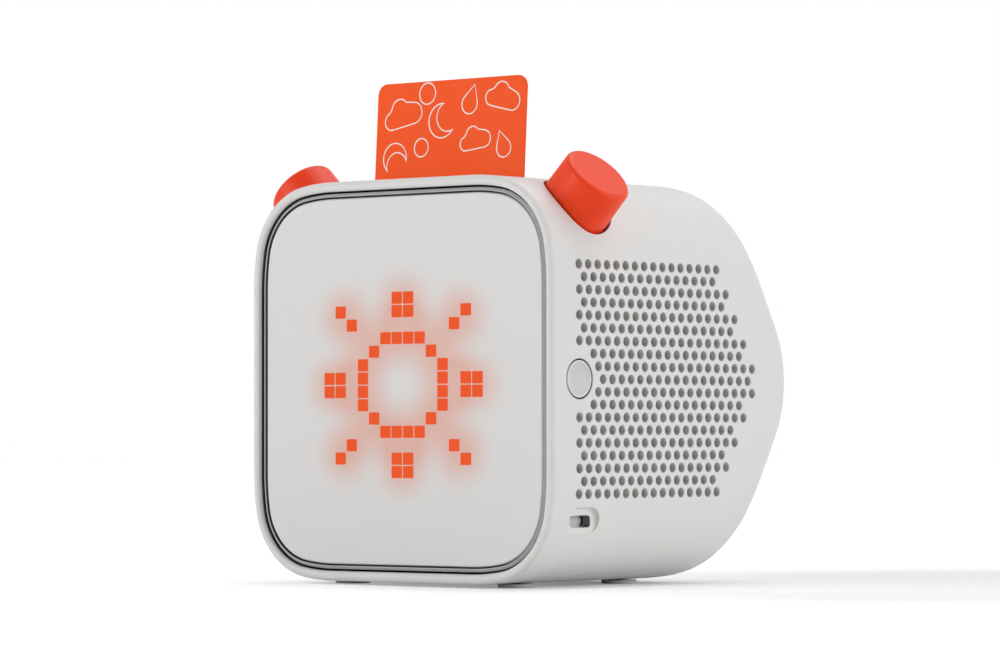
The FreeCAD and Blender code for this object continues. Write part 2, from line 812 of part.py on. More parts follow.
def soft_plate(body, inset, start, end, name, hole=None):
    """A plate with the body's outline between two depths, with a like opening if asked."""
    sketch = add_sketch(body, "XZ_Plane", f"{name}_outline", start)
    soft_square(sketch, inset)
    if hole:
        soft_square(sketch, hole)
    return pad(body, sketch, f"({end}) - ({start})", name)


def foam_strip(name, across, along, width, height):
    """A straight strip of foam tape between the display plate and the bezel's flange."""
    return box(name, across, LENS_BACK, f"({along}) - ({height}) / 2", width, "gasket_thickness", height)


def build_front():
    """Bezel ring, display plate, foam tape, diffuser, light frame and display board."""
    bezel = new_body("bezel")
    soft_plate(bezel, BEZEL_OUTSIDE, "bezel_recess", GASKET_BACK, "rim", BEZEL_INSIDE)
    flange = soft_plate(bezel, BEZEL_OUTSIDE, GASKET_BACK, FLANGE_BACK, "flange")
    opening = add_sketch(bezel, "XZ_Plane", "flange_opening", GASKET_BACK)
    half = f"({LENS_OUTSIDE} + bezel_flange)"
    eight_sided_outline(opening, f"(body_width / 2 - {half})", f"(body_height / 2 - {half})", FLANGE_CORNER)
    pocket(bezel, opening, "flange_thickness", "flange_cut")
    node(bezel, "bezel_ring")
    lens = new_body("lens")
    soft_plate(lens, LENS_OUTSIDE, "lens_recess", LENS_BACK, "plate")
    node(lens, "display_lens")
    across = f"body_width / 2 - ({LENS_OUTSIDE}) - gasket_inset - gasket_width / 2"
    along = f"body_height / 2 - ({LENS_OUTSIDE}) - gasket_inset - gasket_width / 2"
    length = f"2 * {FLAT_TOP}"
    strips = [
        foam_strip("foam_right", across, "0", "gasket_width", length),
        foam_strip("foam_left", f"-({across})", "0", "gasket_width", length),
        foam_strip("foam_top", "0", along, length, "gasket_width"),
        foam_strip("foam_bottom", "0", f"-({along})", length, "gasket_width"),
    ]
    node(group("foam_tape", *strips), "lens_gasket")
    film = box(
        "film", "0", LENS_BACK, "-diffuser_size / 2", "diffuser_size", "gasket_thickness", "diffuser_size"
    )
    node(film, "diffuser_sheet")
    size = "light_frame_size"
    inner = "(light_frame_size - 2 * light_frame_wall)"
    depth = "light_frame_depth"
    outer_block = box("light_frame_outer", "0", GASKET_BACK, f"-{size} / 2", size, depth, size)
    inner_block = box("light_frame_inner", "0", GASKET_BACK, f"-{inner} / 2", inner, depth, inner)
    node(cut("light_frame_walls", outer_block, inner_block), "light_frame")
    board = box(
        "display_board", "0", LIGHT_FRAME_BACK, "-led_board_size / 2",
        "led_board_size", "board_thickness", "led_board_size",
    )
    node(board, "led_board")


# Chassis that carries the boards and the battery

def eight_sided(body, name, start, end, half_width, half_height, corner, hole=None):
    """A plate with cut corners between two depths, with a like opening if asked."""
    sketch = add_sketch(body, "XZ_Plane", f"{name}_outline", start)
    eight_sided_outline(sketch, half_width, half_height, corner)
    if hole:
        reaches = [f"({reach} - {hole})" for reach in (half_width, half_height, corner)]
        eight_sided_outline(sketch, *reaches)
    return pad(body, sketch, f"({end}) - ({start})", name)


def build_chassis():
    """Front plate with a rim, a shelf behind it, posts for the card guide and a tab for a switch."""
    tray = new_body("chassis_tray")
    inset = "(wall + cloth_thickness + chassis_gap)"
    half_width = f"(body_width / 2 - {inset})"
    half_height = f"(body_height / 2 - {inset})"
    corner = f"({CUP_BOTTOM} - chassis_gap)"
    eight_sided(tray, "rim", FLANGE_BACK, PLATE_FRONT, half_width, half_height, corner, "chassis_rim")
    eight_sided(tray, "plate", PLATE_FRONT, PLATE_BACK, half_width, half_height, corner)
    shelf = box(
        "shelf", "0", PLATE_BACK, "-shelf_top - shelf_thickness",
        "shelf_half_width * 2", f"{SHELF_BACK} - ({PLATE_BACK})", "shelf_thickness",
    )
    size = "guide_post_size"
    posts = []
    for x in ("guide_post_x", "-guide_post_x"):
        for height in ("guide_post_low", "guide_post_high"):
            z = f"{CARD_BOTTOM} + {height} - {size} / 2"
            length = f"{CARD_BOTTOM_Y} + {height} * tan(card_lean) - ({PLATE_BACK})"
            posts.append(box("guide_post", x, PLATE_BACK, z, size, length, size))
    tab = box(
        "switch_tab", f"{SWITCH_BOARD_BACK} - shelf_thickness / 2", PLATE_FRONT, "-power_board_height / 2",
        "shelf_thickness", f"power_y + power_board_width / 2 - ({PLATE_FRONT})", "power_board_height",
    )
    block = "standoff_size"
    standoffs = [
        box("io_standoff", f"{IO_BOARD_X} - io_board_width / 4", y, "-shelf_top", block, block,
            f"shelf_top - ({IO_BOARD_TOP}) - board_thickness")
        for y in (f"{PLATE_BACK} + {block}", f"{IO_BOARD_FRONT} + io_board_length - 2 * {block}")
    ]
    solid = fuse("chassis_solid", tray, shelf, *posts, tab, *standoffs)
    depth = f"{PLATE_BACK} - ({FLANGE_BACK}) + wall"
    start = f"{FLANGE_BACK} - wall"
    button_room = f"power_board_height + {block}"
    usb_room = f"usb_recess_height + 2 * {block}"
    usb_inside = f"({IO_BOARD_X} - io_board_width / 2 - chassis_gap)"
    notches = [
        box("button_notch", f"({SWITCH_BOARD_BACK} + body_width / 2) / 2", start, f"-({button_room}) / 2",
            f"body_width / 2 - ({SWITCH_BOARD_BACK})", depth, button_room),
        box("usb_notch", f"({usb_inside} + body_width / 2) / 2", start, f"-usb_drop - ({usb_room}) / 2",
            f"body_width / 2 - {usb_inside}", depth, usb_room),
        box("cable_window", "0", f"{PLATE_FRONT} - wall", "-shelf_top + chassis_rim",
            "chassis_window", "chassis_plate + 2 * wall", "chassis_window / 2"),
        card_guide_block("guide_room"),
    ]
    node(cut("chassis_frame", solid, *notches), "chassis")


# Card, its slot, its guide and the reader boards

GUIDE_HALF_GAP = "(card_thickness / 2 + guide_gap)"
GUIDE_BACK = f"({GUIDE_HALF_GAP} + guide_plate)"


def card_slot():
    """The slot through the top wall, in the card's leaning plane."""
    body = place_in_card_frame(doc.addObject("PartDesign::Body", "card_slot"))
    sketch = add_sketch(body, "XY_Plane", "slot_outline", "guide_height - wall")
    rounded_rectangle(sketch, "0", "0", "slot_length", "slot_width", "slot_corner")
    pad(body, sketch, "wall * 4", "slot_pad")
    return body


def card_guide_block(name):
    """The card guide's outer block."""
    width = "slot_length + guide_side * 2"
    return box(
        name, "0", f"-{GUIDE_BACK}", "-guide_stop", width, f"{GUIDE_BACK} * 2", "guide_height + guide_stop",
        place_in_card_frame,
    )


def build_card_reader():
    """Card guide with its pocket, the antenna board and main board behind it, and the card."""
    pocket_block = box(
        "guide_pocket", "0", f"-{GUIDE_HALF_GAP}", "0",
        "card_width + guide_gap * 4", f"{GUIDE_HALF_GAP} * 2", "guide_height + wall", place_in_card_frame,
    )
    size = "standoff_size"
    length = "(antenna_thickness + main_board_gap)"
    standoffs = [
        box("board_standoff", x, GUIDE_BACK, z, size, length, size, place_in_card_frame)
        for x in (f"(main_board_width - {size}) / 2", f"({size} - main_board_width) / 2")
        for z in (size, f"main_board_height - {size}")
    ]
    frame = fuse("guide_frame", card_guide_block("guide_block"), *standoffs)
    node(cut("guide", frame, pocket_block), "card_guide")
    antenna = box(
        "antenna", "0", GUIDE_BACK, "guide_post_low", "antenna_size", "antenna_thickness", "antenna_size",
        place_in_card_frame,
    )
    node(antenna, "antenna_board")
    board_front = f"{GUIDE_BACK} + {length}"
    board = box(
        "main", "0", board_front, "guide_stop / 2", "main_board_width", "board_thickness",
        "main_board_height", place_in_card_frame,
    )
    node(board, "main_board")
    shield = box(
        "shield", "0", f"{board_front} + board_thickness", "shield_size / 2", "shield_size",
        "shield_height", "shield_size", place_in_card_frame,
    )
    node(shield, "processor_shield")
    card = place_in_card_frame(doc.addObject("PartDesign::Body", "card"))
    sketch = add_sketch(card, "XZ_Plane", "card_outline", "-card_thickness / 2")
    rounded_rectangle(sketch, "0", "card_height / 2", "card_width", "card_height", "card_corner")
    pad(card, sketch, "card_thickness", "card_pad")
    node(card, "story_card")


# Knobs and their encoders

ENCODER_BOTTOM = f"({CUP_BOTTOM} - encoder_height)"
PLUNGER_BOTTOM = f"({ENCODER_BOTTOM} + push_travel + switch_play)"
SHAFT_BOTTOM = f"({PLUNGER_BOTTOM} + plunger_height)"
KNOB_BOTTOM = "(knob_top - knob_length)"


def on_knob_axis(side, name, radius, bottom, height, make=cylinder):
    """A round bar on a knob's axis."""
    return place_on_knob_axis(make(name, radius, height), side, bottom)


def square_on_knob_axis(side, name, size, bottom, height):
    """A square block about a knob's axis."""
    block = doc.addObject("Part::Box", name)
    bind(block, Length=size, Width=size, Height=height)
    place_on_knob_axis(block, side, bottom)
    half = f"({size}) / 2"
    bind(
        block,
        Placement__Base__x=f"{side} * {bottom} * sin(knob_tilt) - {half} * cos(knob_tilt)",
        Placement__Base__y=f"knob_y - {half} - {HALF_DEPTH}",
        Placement__Base__z=f"{bottom} * cos(knob_tilt) + {side} * {half} * sin(knob_tilt) + {MIDDLE_HEIGHT}",
    )
    return block


def build_knob(side, label):
    """A round cap with a blind bore for the shaft, which has as many sides as the shaft."""
    cap = on_knob_axis(side, f"{label}_cap", "knob_radius", KNOB_BOTTOM, "knob_length")
    bore = on_knob_axis(
        side, f"{label}_bore", "shaft_radius", KNOB_BOTTOM, "shaft_depth_in_knob", many_sided
    )
    node(cut(f"{label}_bored_cap", cap, bore), f"{label}_knob")


def build_encoder(side, label):
    """The push-and-turn encoder behind a knob: housing, board, plunger and shaft."""
    block_name = f"{label}_encoder_block"
    shell = square_on_knob_axis(side, block_name, "encoder_body", ENCODER_BOTTOM, "encoder_height")
    bore = on_knob_axis(
        side, f"{label}_encoder_bore", "shaft_radius + shaft_gap", ENCODER_BOTTOM, "encoder_height"
    )
    node(cut(f"{label}_encoder_shell", shell, bore), f"{label}_encoder_body")
    board_bottom = f"({ENCODER_BOTTOM} - board_thickness)"
    board = square_on_knob_axis(side, f"{label}_board", "encoder_board", board_bottom, "board_thickness")
    node(board, f"{label}_encoder_board")
    name = f"{label}_encoder_plunger"
    plunger = square_on_knob_axis(side, f"{name}_block", "plunger_size", PLUNGER_BOTTOM, "plunger_height")
    node(plunger, name)
    length = f"{KNOB_BOTTOM} + shaft_depth_in_knob - {SHAFT_BOTTOM}"
    shaft = on_knob_axis(side, f"{label}_shaft", "shaft_radius", SHAFT_BOTTOM, length, many_sided)
    node(shaft, f"{label}_encoder_shaft")


# Power button and its switch

CAP_OUTSIDE = "(body_width / 2 - power_recess)"
FLANGE_OUTSIDE = "(body_width / 2 - wall - power_flange_gap)"
FLANGE_INSIDE = f"({FLANGE_OUTSIDE} - power_flange_thickness)"
STEM_END = f"({FLANGE_INSIDE} - power_stem_length)"
SWITCH_FRONT = f"({STEM_END} - switch_play - switch_plunger_height)"
SWITCH_BACK = f"({SWITCH_FRONT} - switch_height)"
SWITCH_BOARD_BACK = f"({SWITCH_BACK} - board_thickness)"


def block_on_button_axis(name, outside, length, width, height=None):
    """A block about the power button's axis, from its outer face inward."""
    tall = height or width
    x = f"{outside} - ({length}) / 2"
    return box(name, x, f"power_y - ({width}) / 2", f"-({tall}) / 2", length, width, tall)


def build_power_button():
    """A round cap with a flange and a stem, over a small switch on its own board."""
    cap = bar_along_x(
        "cap_form", "power_hole_radius - power_gap", 1, CAP_OUTSIDE, "power_y", "0",
        f"{CAP_OUTSIDE} - {FLANGE_OUTSIDE}",
    )
    flange = many_sided("cap_flange", "power_flange_radius", "power_flange_thickness")
    place(flange, FLANGE_INSIDE, "power_y", "0", Vector(0, 1, 0), "90")
    stem = block_on_button_axis("cap_stem", FLANGE_INSIDE, "power_stem_length", "power_stem_size")
    node(fuse("power_cap", cap, flange, stem), "power_button")
    body = block_on_button_axis("switch_body", SWITCH_FRONT, "switch_height", "switch_size")
    reach = "(switch_plunger_height - power_travel)"
    plunger_front = f"{SWITCH_FRONT} + {reach}"
    plunger = block_on_button_axis("switch_plunger", plunger_front, reach, "switch_plunger_size")
    node(fuse("switch", body, plunger), "power_switch")
    board = block_on_button_axis(
        "switch_board", SWITCH_BACK, "board_thickness", "power_board_width", "power_board_height"
    )
    node(board, "power_board")


# Charging socket

USB_FLOOR = "(body_width / 2 - usb_recess_depth)"
USB_FLOOR_INSIDE = f"({USB_FLOOR} - usb_floor)"
IO_BOARD_TOP = "usb_drop + usb_shell_height / 2"
IO_BOARD_OUTSIDE = f"({USB_FLOOR_INSIDE} - usb_nose - io_board_gap)"
IO_BOARD_X = f"({IO_BOARD_OUTSIDE} - io_board_width / 2)"
IO_BOARD_FRONT = "usb_y - usb_shell_length / 2 - io_board_lead"


def rounded_about_usb(name, length, height, start, depth, corner=None):
    """A bar across the side wall, about the socket's middle, with round ends unless told a corner."""
    body, sketch = side_prism(name, 1, start, depth)
    corner = corner or f"({height}) * {FULLY_ROUND}"
    rounded_rectangle(sketch, "usb_y", "-usb_drop", length, height, corner)
    pad(body, sketch, depth, f"{name}_pad")
    return body


def block_about_usb(name, length, height, start, depth):
    """A block across the side wall, about the socket's middle."""
    x = f"{start} + ({depth}) / 2"
    return box(name, x, f"usb_y - ({length}) / 2", f"-usb_drop - ({height}) / 2", depth, length, height)


def build_socket():
    """The socket's metal shell, its tongue, and the board below it."""
    start = f"{USB_FLOOR_INSIDE} - usb_shell_depth"
    inner_start = f"({start} + usb_shell_wall * 2)"
    inner_length = "usb_shell_length - 2 * usb_shell_wall"
    inner_height = "usb_shell_height - 2 * usb_shell_wall"
    outside = rounded_about_usb(
        "shell_outside", "usb_shell_length", "usb_shell_height", start, "usb_shell_depth"
    )
    inside = rounded_about_usb("shell_inside", inner_length, inner_height, inner_start, "usb_shell_depth")
    node(cut("socket_shell", outside, inside), "usb_shell")
    tongue_length = "(usb_shell_depth - usb_shell_wall * 2 - usb_tongue_setback)"
    tongue = box(
        "tongue", f"{inner_start} + {tongue_length} / 2", "usb_y - usb_tongue_length / 2",
        "-usb_drop - usb_tongue_height / 2", tongue_length, "usb_tongue_length", "usb_tongue_height",
    )
    node(tongue, "usb_tongue")
    board = box(
        "io", IO_BOARD_X, IO_BOARD_FRONT, f"-({IO_BOARD_TOP}) - board_thickness",
        "io_board_width", "io_board_length", "board_thickness",
    )
    node(board, "io_board")


# Speakers behind the side panels

SPEAKER_FRONT = "(body_width / 2 - wall - cloth_thickness - speaker_gasket_thickness)"
SPEAKER_BOX_FACE = f"({SPEAKER_FRONT} - speaker_flange_thickness)"
CLOTH_ROOM = "(button_land + cloth_margin)"
BOX_LENGTH = "(speaker_basket_size + 2 * (speaker_box_side_room + speaker_box_wall))"
BOX_HEIGHT = "(speaker_basket_size + 2 * (speaker_box_head_room + speaker_box_wall))"
BOX_DEPTH = "(speaker_basket_depth + speaker_magnet_height + speaker_magnet_room + speaker_box_wall)"


def build_grille(side, label):
    """The panel that completes the side wall, and the cloth behind it."""
    panel = side_layer(side, f"{label}_panel", "0", "wall")
    if side > 0:
        panel = cut("perforated_panel", panel, hole_bars())
    node(panel, f"{label}_grille")
    cloth = side_layer(side, f"{label}_cloth", "wall", "wall + cloth_thickness", "cloth_margin")
    if side > 0:
        room = box(
            "button_room", "body_width / 2", f"-{WINDOW_TOP}", f"-{CLOTH_ROOM}", "wall * 4",
            f"{WINDOW_TOP} + power_y + {CLOTH_ROOM}", f"2 * {CLOTH_ROOM}",
        )
        cloth = cut("right_cloth_with_room", cloth, room)
    node(cloth, f"{label}_grille_cloth")


def build_speaker(side, label):
    """Foam ring, driver frame, cone with its coil, magnet, and the closed box with its ears."""

    def block(name, depth, length, width, height=None):
        tall = height or width
        x = f"{side} * ({SPEAKER_FRONT} - ({depth}) - ({length}) / 2)"
        y = f"speaker_y - ({width}) / 2"
        return box(f"{label}_{name}", x, y, f"-({tall}) / 2", length, width, tall)

    def disc(name, depth, length, radius):
        bar = many_sided(f"{label}_{name}", radius, length)
        turn = f"-{side} * 90"
        x = f"{side} * ({SPEAKER_FRONT} - ({depth}))"
        return place(bar, x, "speaker_y", "0", Vector(0, 1, 0), turn)

    foam = "speaker_gasket_thickness"
    ring = block("gasket_outside", f"-{foam}", foam, "speaker_size")
    hole = block("gasket_inside", f"-{foam}", foam, "speaker_size - 2 * speaker_gasket_width")
    node(cut(f"{label}_gasket", ring, hole), f"{label}_speaker_gasket")
    magnet_depth = "(speaker_flange_thickness + speaker_basket_depth)"
    rim = block("basket_rim", "0", "speaker_flange_thickness", "speaker_size")
    bowl = block("basket_bowl", "0", magnet_depth, "speaker_basket_size")
    mouth_radius = "speaker_cone_radius + speaker_cone_setback / 2"
    hollow = disc("basket_hollow", "0", f"{magnet_depth} - speaker_basket_wall", mouth_radius)
    basket = fuse(f"{label}_basket_solid", rim, bowl)
    node(cut(f"{label}_basket", basket, hollow), f"{label}_speaker_basket")
    diaphragm = disc("diaphragm", "speaker_cone_setback", "speaker_cone_thickness", "speaker_cone_radius")
    coil_depth = "(speaker_cone_setback + speaker_cone_thickness)"
    coil_length = f"{magnet_depth} - speaker_basket_wall - {coil_depth}"
    coil = block("coil", coil_depth, coil_length, "speaker_coil_size")
    node(fuse(f"{label}_cone_with_coil", diaphragm, coil), f"{label}_speaker_cone")
    magnet = disc("magnet", magnet_depth, "speaker_magnet_height", "speaker_magnet_radius")
    node(magnet, f"{label}_speaker_magnet")
    wall = "speaker_box_wall"
    depth = "speaker_flange_thickness"
    outer = block("box_outer", depth, BOX_DEPTH, BOX_LENGTH, BOX_HEIGHT)
    ear_height = f"{BOX_HEIGHT} + 2 * speaker_ear_reach"
    ear = block("box_ear", depth, "speaker_ear_thickness", "speaker_ear_width", ear_height)
    inner = block(
        "box_inner", f"{depth} + {wall}", f"{BOX_DEPTH} - 2 * {wall}",
        f"{BOX_LENGTH} - 2 * {wall}", f"{BOX_HEIGHT} - 2 * {wall}",
    )
    mouth = block("box_mouth", depth, wall, "speaker_basket_size + 2 * speaker_mouth_gap")
    solid = fuse(f"{label}_box_solid", outer, ear)
    node(cut(f"{label}_box", solid, inner, mouth), f"{label}_speaker_box")


# Battery and feet

def build_battery_and_feet():
    """The battery pack on the shelf and the four pads that the player stands on."""
    front = f"{SHELF_BACK} - battery_margin - battery_width"
    pack = box("pack", "0", front, "-shelf_top", "battery_length", "battery_width", "battery_height")
    node(pack, "battery_pack")
    pads = []
    for x in ("foot_x", "-foot_x"):
        for y in ("foot_front_y", "foot_back_y"):
            disc = many_sided("foot", "foot_radius", "foot_height")
            pads.append(place(disc, x, y, "-body_height / 2 - foot_height"))
    node(group("feet", *pads), "foot_pads")


build_housing()
build_front()
build_chassis()
build_card_reader()
build_power_button()
build_socket()
for side, label in ((1, "right"), (-1, "left")):
    build_grille(side, label)
    build_speaker(side, label)
    build_encoder(side, label)
    build_knob(side, label)
build_battery_and_feet()
doc.recompute()

for thing in doc.Objects:
    if "Invalid" in thing.State or "Error" in thing.State:
        raise ValueError(f"{thing.Label} failed: {thing.State}")
for label, thing in nodes.items():
    if thing.Shape.isNull() or not thing.Shape.isValid():
        raise ValueError(f"{label} has no valid shape")

os.makedirs("parts", exist_ok=True)
for label, thing in nodes.items():
    thing.Shape.exportStep(f"parts/{label}.step")
    print(label, len(thing.Shape.Solids), round(thing.Shape.Volume, 1))
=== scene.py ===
import math

import bmesh
import bpy
from mathutils import Matrix, Vector


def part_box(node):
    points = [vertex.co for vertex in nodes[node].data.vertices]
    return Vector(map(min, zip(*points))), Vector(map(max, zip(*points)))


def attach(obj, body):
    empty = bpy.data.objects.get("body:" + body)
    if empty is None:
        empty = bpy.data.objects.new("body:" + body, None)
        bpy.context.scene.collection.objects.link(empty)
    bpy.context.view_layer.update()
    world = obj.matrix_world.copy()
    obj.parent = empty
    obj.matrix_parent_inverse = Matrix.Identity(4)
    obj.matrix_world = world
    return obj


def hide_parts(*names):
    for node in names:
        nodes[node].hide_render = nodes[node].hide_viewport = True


# Looks of the audio story player. Sizes are in millimetres as on the drawing: x to the right of a
# viewer facing the display, y back from the front lip, z up from the body's middle.

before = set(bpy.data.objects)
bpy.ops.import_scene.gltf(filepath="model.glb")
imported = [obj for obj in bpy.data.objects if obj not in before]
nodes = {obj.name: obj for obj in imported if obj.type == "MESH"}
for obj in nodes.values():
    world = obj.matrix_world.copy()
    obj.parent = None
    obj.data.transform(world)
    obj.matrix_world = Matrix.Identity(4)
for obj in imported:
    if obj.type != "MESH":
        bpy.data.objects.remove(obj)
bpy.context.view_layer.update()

MM = 0.001
DRAWING_ORIGIN = Vector((0.0, -49.5, 55.2))

# Body
HALF_WIDTH = 54.5
HALF_HEIGHT = 54.2
BODY_DEPTH = 99.0
WALL = 2.7
CORNER_REACH = 29.25
BLEND_RADIUS = 67.0
CORNER_RADIUS = 21.5
RIDGE_RADIUS = 30.0
FACET_LEAN = math.radians(29.5)
REAR_ROUND = 12.0
REAR_EASE = 0.35
LIP_OUTER = 1.5
LIP_INNER = 1.2
OPENING_DEPTH = 12.0
SWEEP_END = 104.0

# The three arcs of one corner in the front view: gentle, tight and gentle again
FLAT_X = HALF_WIDTH - CORNER_REACH
FLAT_Z = HALF_HEIGHT - CORNER_REACH
CORNER_SHIFT = BLEND_RADIUS - CORNER_RADIUS
GENTLE_TURN = math.acos((BLEND_RADIUS - CORNER_REACH) / CORNER_SHIFT / math.sqrt(2)) - math.pi / 4
SIDE_CENTRE = Vector((HALF_WIDTH - BLEND_RADIUS, FLAT_Z))
CORNER_CENTRE = SIDE_CENTRE + CORNER_SHIFT * Vector((math.cos(GENTLE_TURN), math.sin(GENTLE_TURN)))
TOP_CENTRE = Vector((FLAT_X, HALF_HEIGHT - BLEND_RADIUS))

# Display, with insets from the body's outline
BEZEL_OUTSIDE = 3.2
BEZEL_INSIDE = 4.15
BEZEL_FLANGE = 7.57
LENS_OUTSIDE = 4.57
ICON_MIDDLE = (0.6, 1.3, -1.2)
CELL_PITCH = (4.12, 3.6)
CELL_SIZE = (3.82, 3.3)

# Knobs, with heights along their axis from the body's middle
KNOB_Y = 19.54
KNOB_TOP = 76.65
KNOB_BOTTOM = 62.6
KNOB_RADIUS = 9.85
CUP_FLOOR = 61.4
CUP_RADIUS = 10.55

# Button, socket, grilles and feet
POWER_Y = 11.12
POWER_HOLE = 5.35
POWER_CAP = 4.95
POWER_FLANGE = 5.75
SOCKET_Y = 13.87
SOCKET_Z = -37.4
SOCKET_FLOOR = 52.0
GRILLE_PITCH = 3.875
GRILLE_FIRST_Y = 11.03
GRILLE_OUTER_ROW = 9
GRILLE_PITCHES = 19.5
BUTTON_LAND = 7.7
HOLE_RADIUS = 1.3
FOOT_RADIUS = 4.8
FOOT_X = 29.5
FOOT_ROWS_Y = (14.2, 57.3)

# Card and its slot
CARD_WIDTH = 53.98
CARD_HEIGHT = 85.6
CARD_THICKNESS = 0.76
CARD_CORNER = 3.18
CARD_LEAN = math.radians(3.4)
CARD_ABOVE_BODY = 27.85
SLOT_Y = 20.64
CARD_BOTTOM = HALF_HEIGHT + CARD_ABOVE_BODY - CARD_HEIGHT * math.cos(CARD_LEAN)
CARD_BOTTOM_Y = SLOT_Y + CARD_ABOVE_BODY * math.tan(CARD_LEAN) - CARD_HEIGHT * math.sin(CARD_LEAN)


def at(x, y, z):
    """A point of the drawing, in the scene."""
    return (Vector((x, y, z)) + DRAWING_ORIGIN) * MM


def knob_axis(side):
    """The direction in which a knob points out of the body."""
    return Vector((side * math.sqrt(0.5), 0.0, math.sqrt(0.5)))


# Handling of pieces

def clear_selection():
    if bpy.context.mode != "OBJECT":
        bpy.ops.object.mode_set(mode="OBJECT")
    bpy.ops.object.select_all(action="DESELECT")


def choose(piece):
    clear_selection()
    piece.select_set(True)
    bpy.context.view_layer.objects.active = piece


def edit(piece, kind="VERT"):
    choose(piece)
    bpy.ops.object.mode_set(mode="EDIT")
    bpy.ops.mesh.select_mode(type=kind)


def leave():
    bpy.ops.object.mode_set(mode="OBJECT")


def select_faces(piece, test):
    """Picks the faces whose middle and normal pass a test, in edit mode."""
    edit(piece, "FACE")
    bpy.ops.mesh.select_all(action="DESELECT")
    mesh = bmesh.from_edit_mesh(piece.data)
    place = piece.matrix_world
    for face in mesh.faces:
        face.select = test(place @ face.calc_center_median(), face.normal)
    mesh.select_flush_mode()
    bmesh.update_edit_mesh(piece.data)


def select_edges(piece, test):
    """Picks the edges whose ends, and the angle between their faces, pass a test, in edit mode."""
    edit(piece, "EDGE")
    bpy.ops.mesh.select_all(action="DESELECT")
    mesh = bmesh.from_edit_mesh(piece.data)
    place = piece.matrix_world
    count = 0
    for edge in mesh.edges:
        if len(edge.link_faces) != 2:
            continue
        ends = [place @ vertex.co for vertex in edge.verts]
        edge.select = test(*ends, edge.calc_face_angle(0.0))
        count += edge.select
    mesh.select_flush_mode()
    bmesh.update_edit_mesh(piece.data)
    return count


def settle(piece):
    """Puts the piece's place into its mesh, so that its object sits at the origin."""
    choose(piece)
    bpy.ops.object.transform_apply(location=True, rotation=True, scale=True)
    return piece


def face_outward(piece):
    edit(piece)
    bpy.ops.mesh.select_all(action="SELECT")
    bpy.ops.mesh.remove_doubles(threshold=1e-6)
    bpy.ops.mesh.normals_make_consistent(inside=False)
    leave()
    return piece


def apply_modifier(piece, kind, **settings):
    choose(piece)
    modifier = piece.modifiers.new(kind.lower(), kind)
    for name, value in settings.items():
        setattr(modifier, name, value)
    bpy.ops.object.modifier_apply(modifier=modifier.name)
    return piece


def carve(piece, cutter, solver="EXACT"):
    """Cuts a cutter's shape out of a piece, and drops the cutter."""
    apply_modifier(piece, "BOOLEAN", object=cutter, operation="DIFFERENCE", solver=solver)
    bpy.data.objects.remove(cutter, do_unlink=True)
    return piece


def close_openings(piece):
    """Closes open ends, and the slits without width that a cut can leave along an edge."""
    edit(piece)
    bpy.ops.mesh.select_all(action="DESELECT")
    bpy.ops.mesh.select_non_manifold()
    bpy.ops.mesh.fill_holes(sides=0)
    leave()
    return piece


def copy_of(piece):
    """A copy of a piece, with its own mesh."""
    copy = piece.copy()
    copy.data = piece.data.copy()
    bpy.context.scene.collection.objects.link(copy)
    return copy


def join_pieces(pieces):
    """Makes several pieces one."""
    choose(pieces[0])
    for piece in pieces:
        piece.select_set(True)
    bpy.ops.object.join()
    return settle(bpy.context.object)


def smooth(piece, degrees=28.0):
    """Smooth shading across gentle bends, with flat faces kept flat."""
    choose(piece)
    bpy.ops.object.shade_smooth_by_angle(angle=math.radians(degrees))
    apply_modifier(piece, "WEIGHTED_NORMAL", keep_sharp=True, weight=90)
    return piece


def finish_piece(piece, name, material, body, slot, *replaced):
    """Names a piece, gives it its material and body, and hides the nodes it stands for."""
    piece.name = name
    piece.data.name = name
    piece.data.materials.clear()
    piece.data.materials.append(material)
    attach(piece, body)
    if replaced:
        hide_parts(*replaced)
    return piece


def paint_faces(piece, material, test):
    """Gives a second finish to the faces whose place on the drawing and normal pass a test."""
    piece.data.materials.append(material)
    select_faces(piece, lambda place, normal: test(place / MM - DRAWING_ORIGIN, normal))
    piece.active_material_index = len(piece.data.materials) - 1
    bpy.ops.object.material_slot_assign()
    leave()


# Forms

def path_of_points(name, points):
    """A chain of edges through points, drawn by extruding one vertex."""
    clear_selection()
    bpy.ops.mesh.primitive_plane_add(size=MM, location=points[0])
    piece = bpy.context.object
    piece.name = name
    edit(piece)
    bpy.ops.mesh.select_all(action="SELECT")
    bpy.ops.mesh.merge(type="CENTER")
    for start, end in zip(points, points[1:]):
        bpy.ops.mesh.extrude_region_move(TRANSFORM_OT_translate={"value": end - start})
    return piece


def join_ends(piece):
    """Closes a chain of edges with one more edge, in edit mode."""
    bpy.ops.mesh.select_all(action="DESELECT")
    mesh = bmesh.from_edit_mesh(piece.data)
    for vertex in mesh.verts:
        vertex.select = len(vertex.link_edges) == 1
    mesh.select_flush_mode()
    bmesh.update_edit_mesh(piece.data)
    bpy.ops.mesh.edge_face_add()


